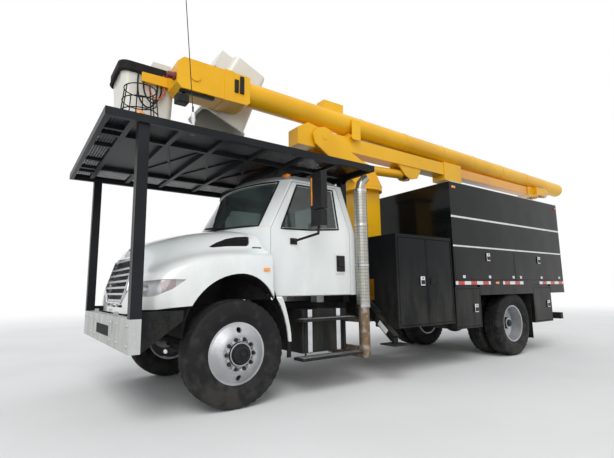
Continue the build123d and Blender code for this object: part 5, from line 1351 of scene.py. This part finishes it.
rim_middle = (X(0.590), -0.560)
cover = cut(plate(rounded(rim_middle, (0.3700, 0.3300), 0.11, 3.850), (0, 0, 0.134), 0.004),
            plate(rounded(rim_middle, (0.3500, 0.3100), 0.10, 3.80), (0, 0, 0.30)))
strap = wire(rounded(rim_middle, (0.3715, 0.3315), 0.11, 3.872), 0.007, closed=True)
settle(join([cover, strap]), "bucket_rim_cover", "bucket_carrier", "flap_rubber")
leg_lean = radians(40)
label_corners = ((0.11, -0.032), (0.29, -0.032), (0.29, 0.032), (0.11, 0.032))  # along and across the leg
for side, name in sides:
    foot = Vector((X(-2.0455), side * 1.250, 0.515))
    run = Vector((0, -side * cos(leg_lean), sin(leg_lean)))
    wide = Vector((0, side * sin(leg_lean), cos(leg_lean)))
    line = [foot + run * a + wide * b for a, b in label_corners]
    label = plate(line, (0.0025, 0, 0), 0.0006, 1)
    settle(label, f"outrigger_plate_{name}", f"outrigger_body_{name}", "white_paint")
print("bucket and outrigger details made")

# %% [markdown]
# ## Floor, light and background
# A pale matt floor keeps the shadow and fades to white. A soft overhead light, a weaker one from the
# camera's side and a plain sky bring a written colour back about as it was written.

# %% Stage
clear()
bpy.ops.mesh.primitive_plane_add(size=120, location=(0, 0, 0))
floor = bpy.context.object
floor.name = "floor"
ground = Finish("pale floor")
stain = ground.ramp(ground.noise(0.6, 4), 0.35, 0.7)
ground.feed("Base Color", ground.mix(stain, (0.80, 0.80, 0.79), (0.76, 0.76, 0.75)))
ground.feed("Roughness", ground.noise(30, 3) * 0.2 + 0.65)
ground.relief(ground.noise(180, 3), 0.001)
distance = ground.node("ShaderNodeVectorMath", {"operation": "LENGTH"}, ground.place, out="Value")
glow = ground.node("ShaderNodeEmission", {})
paved = Wire(ground, ground.shader.outputs[0])
blend = ground.node("ShaderNodeMixShader", {}, ground.ramp(distance, 8.0, 24.0) * ground.seen(), paved, glow)
ground.tree.links.new(blend.socket, ground.tree.nodes["Material Output"].inputs["Surface"])
floor.data.materials.append(ground.material)

world = bpy.data.worlds.new("sky")
bpy.context.scene.world = world
world.use_nodes = True
sky = Nodes(world.node_tree)
backdrop = sky.tree.nodes["Background"]
backdrop.inputs["Color"].default_value = (0.93, 0.96, 1.0, 1)
backdrop.inputs["Strength"].default_value = 0.62
white = sky.node("ShaderNodeBackground", {}, (1, 1, 1, 1), 1.0)
choice = sky.node("ShaderNodeMixShader", {}, sky.seen(), Wire(sky, backdrop.outputs[0]), white)
sky.tree.links.new(choice.socket, sky.tree.nodes["World Output"].inputs["Surface"])


def lamp(name, kind, energy, place, aim, size):
    """A soft lamp aimed at a point."""
    data = bpy.data.lights.new(name, kind)
    data.energy = energy
    setattr(data, "angle" if kind == "SUN" else "size", size)
    lamp_object = bpy.data.objects.new(name, data)
    lamp_object.location = place
    lamp_object.rotation_euler = (Vector(aim) - Vector(place)).to_track_quat("-Z", "Y").to_euler()
    bpy.context.scene.collection.objects.link(lamp_object)


lamp("day", "SUN", 1.25, (6, 8, 14), (0, 0, 1), 0.6)
lamp("fill", "AREA", 260, (9, 9, 6), (1, 0, 1.4), 6.0)
bpy.context.scene.view_settings.view_transform = "Standard"
print("stage and lights set")
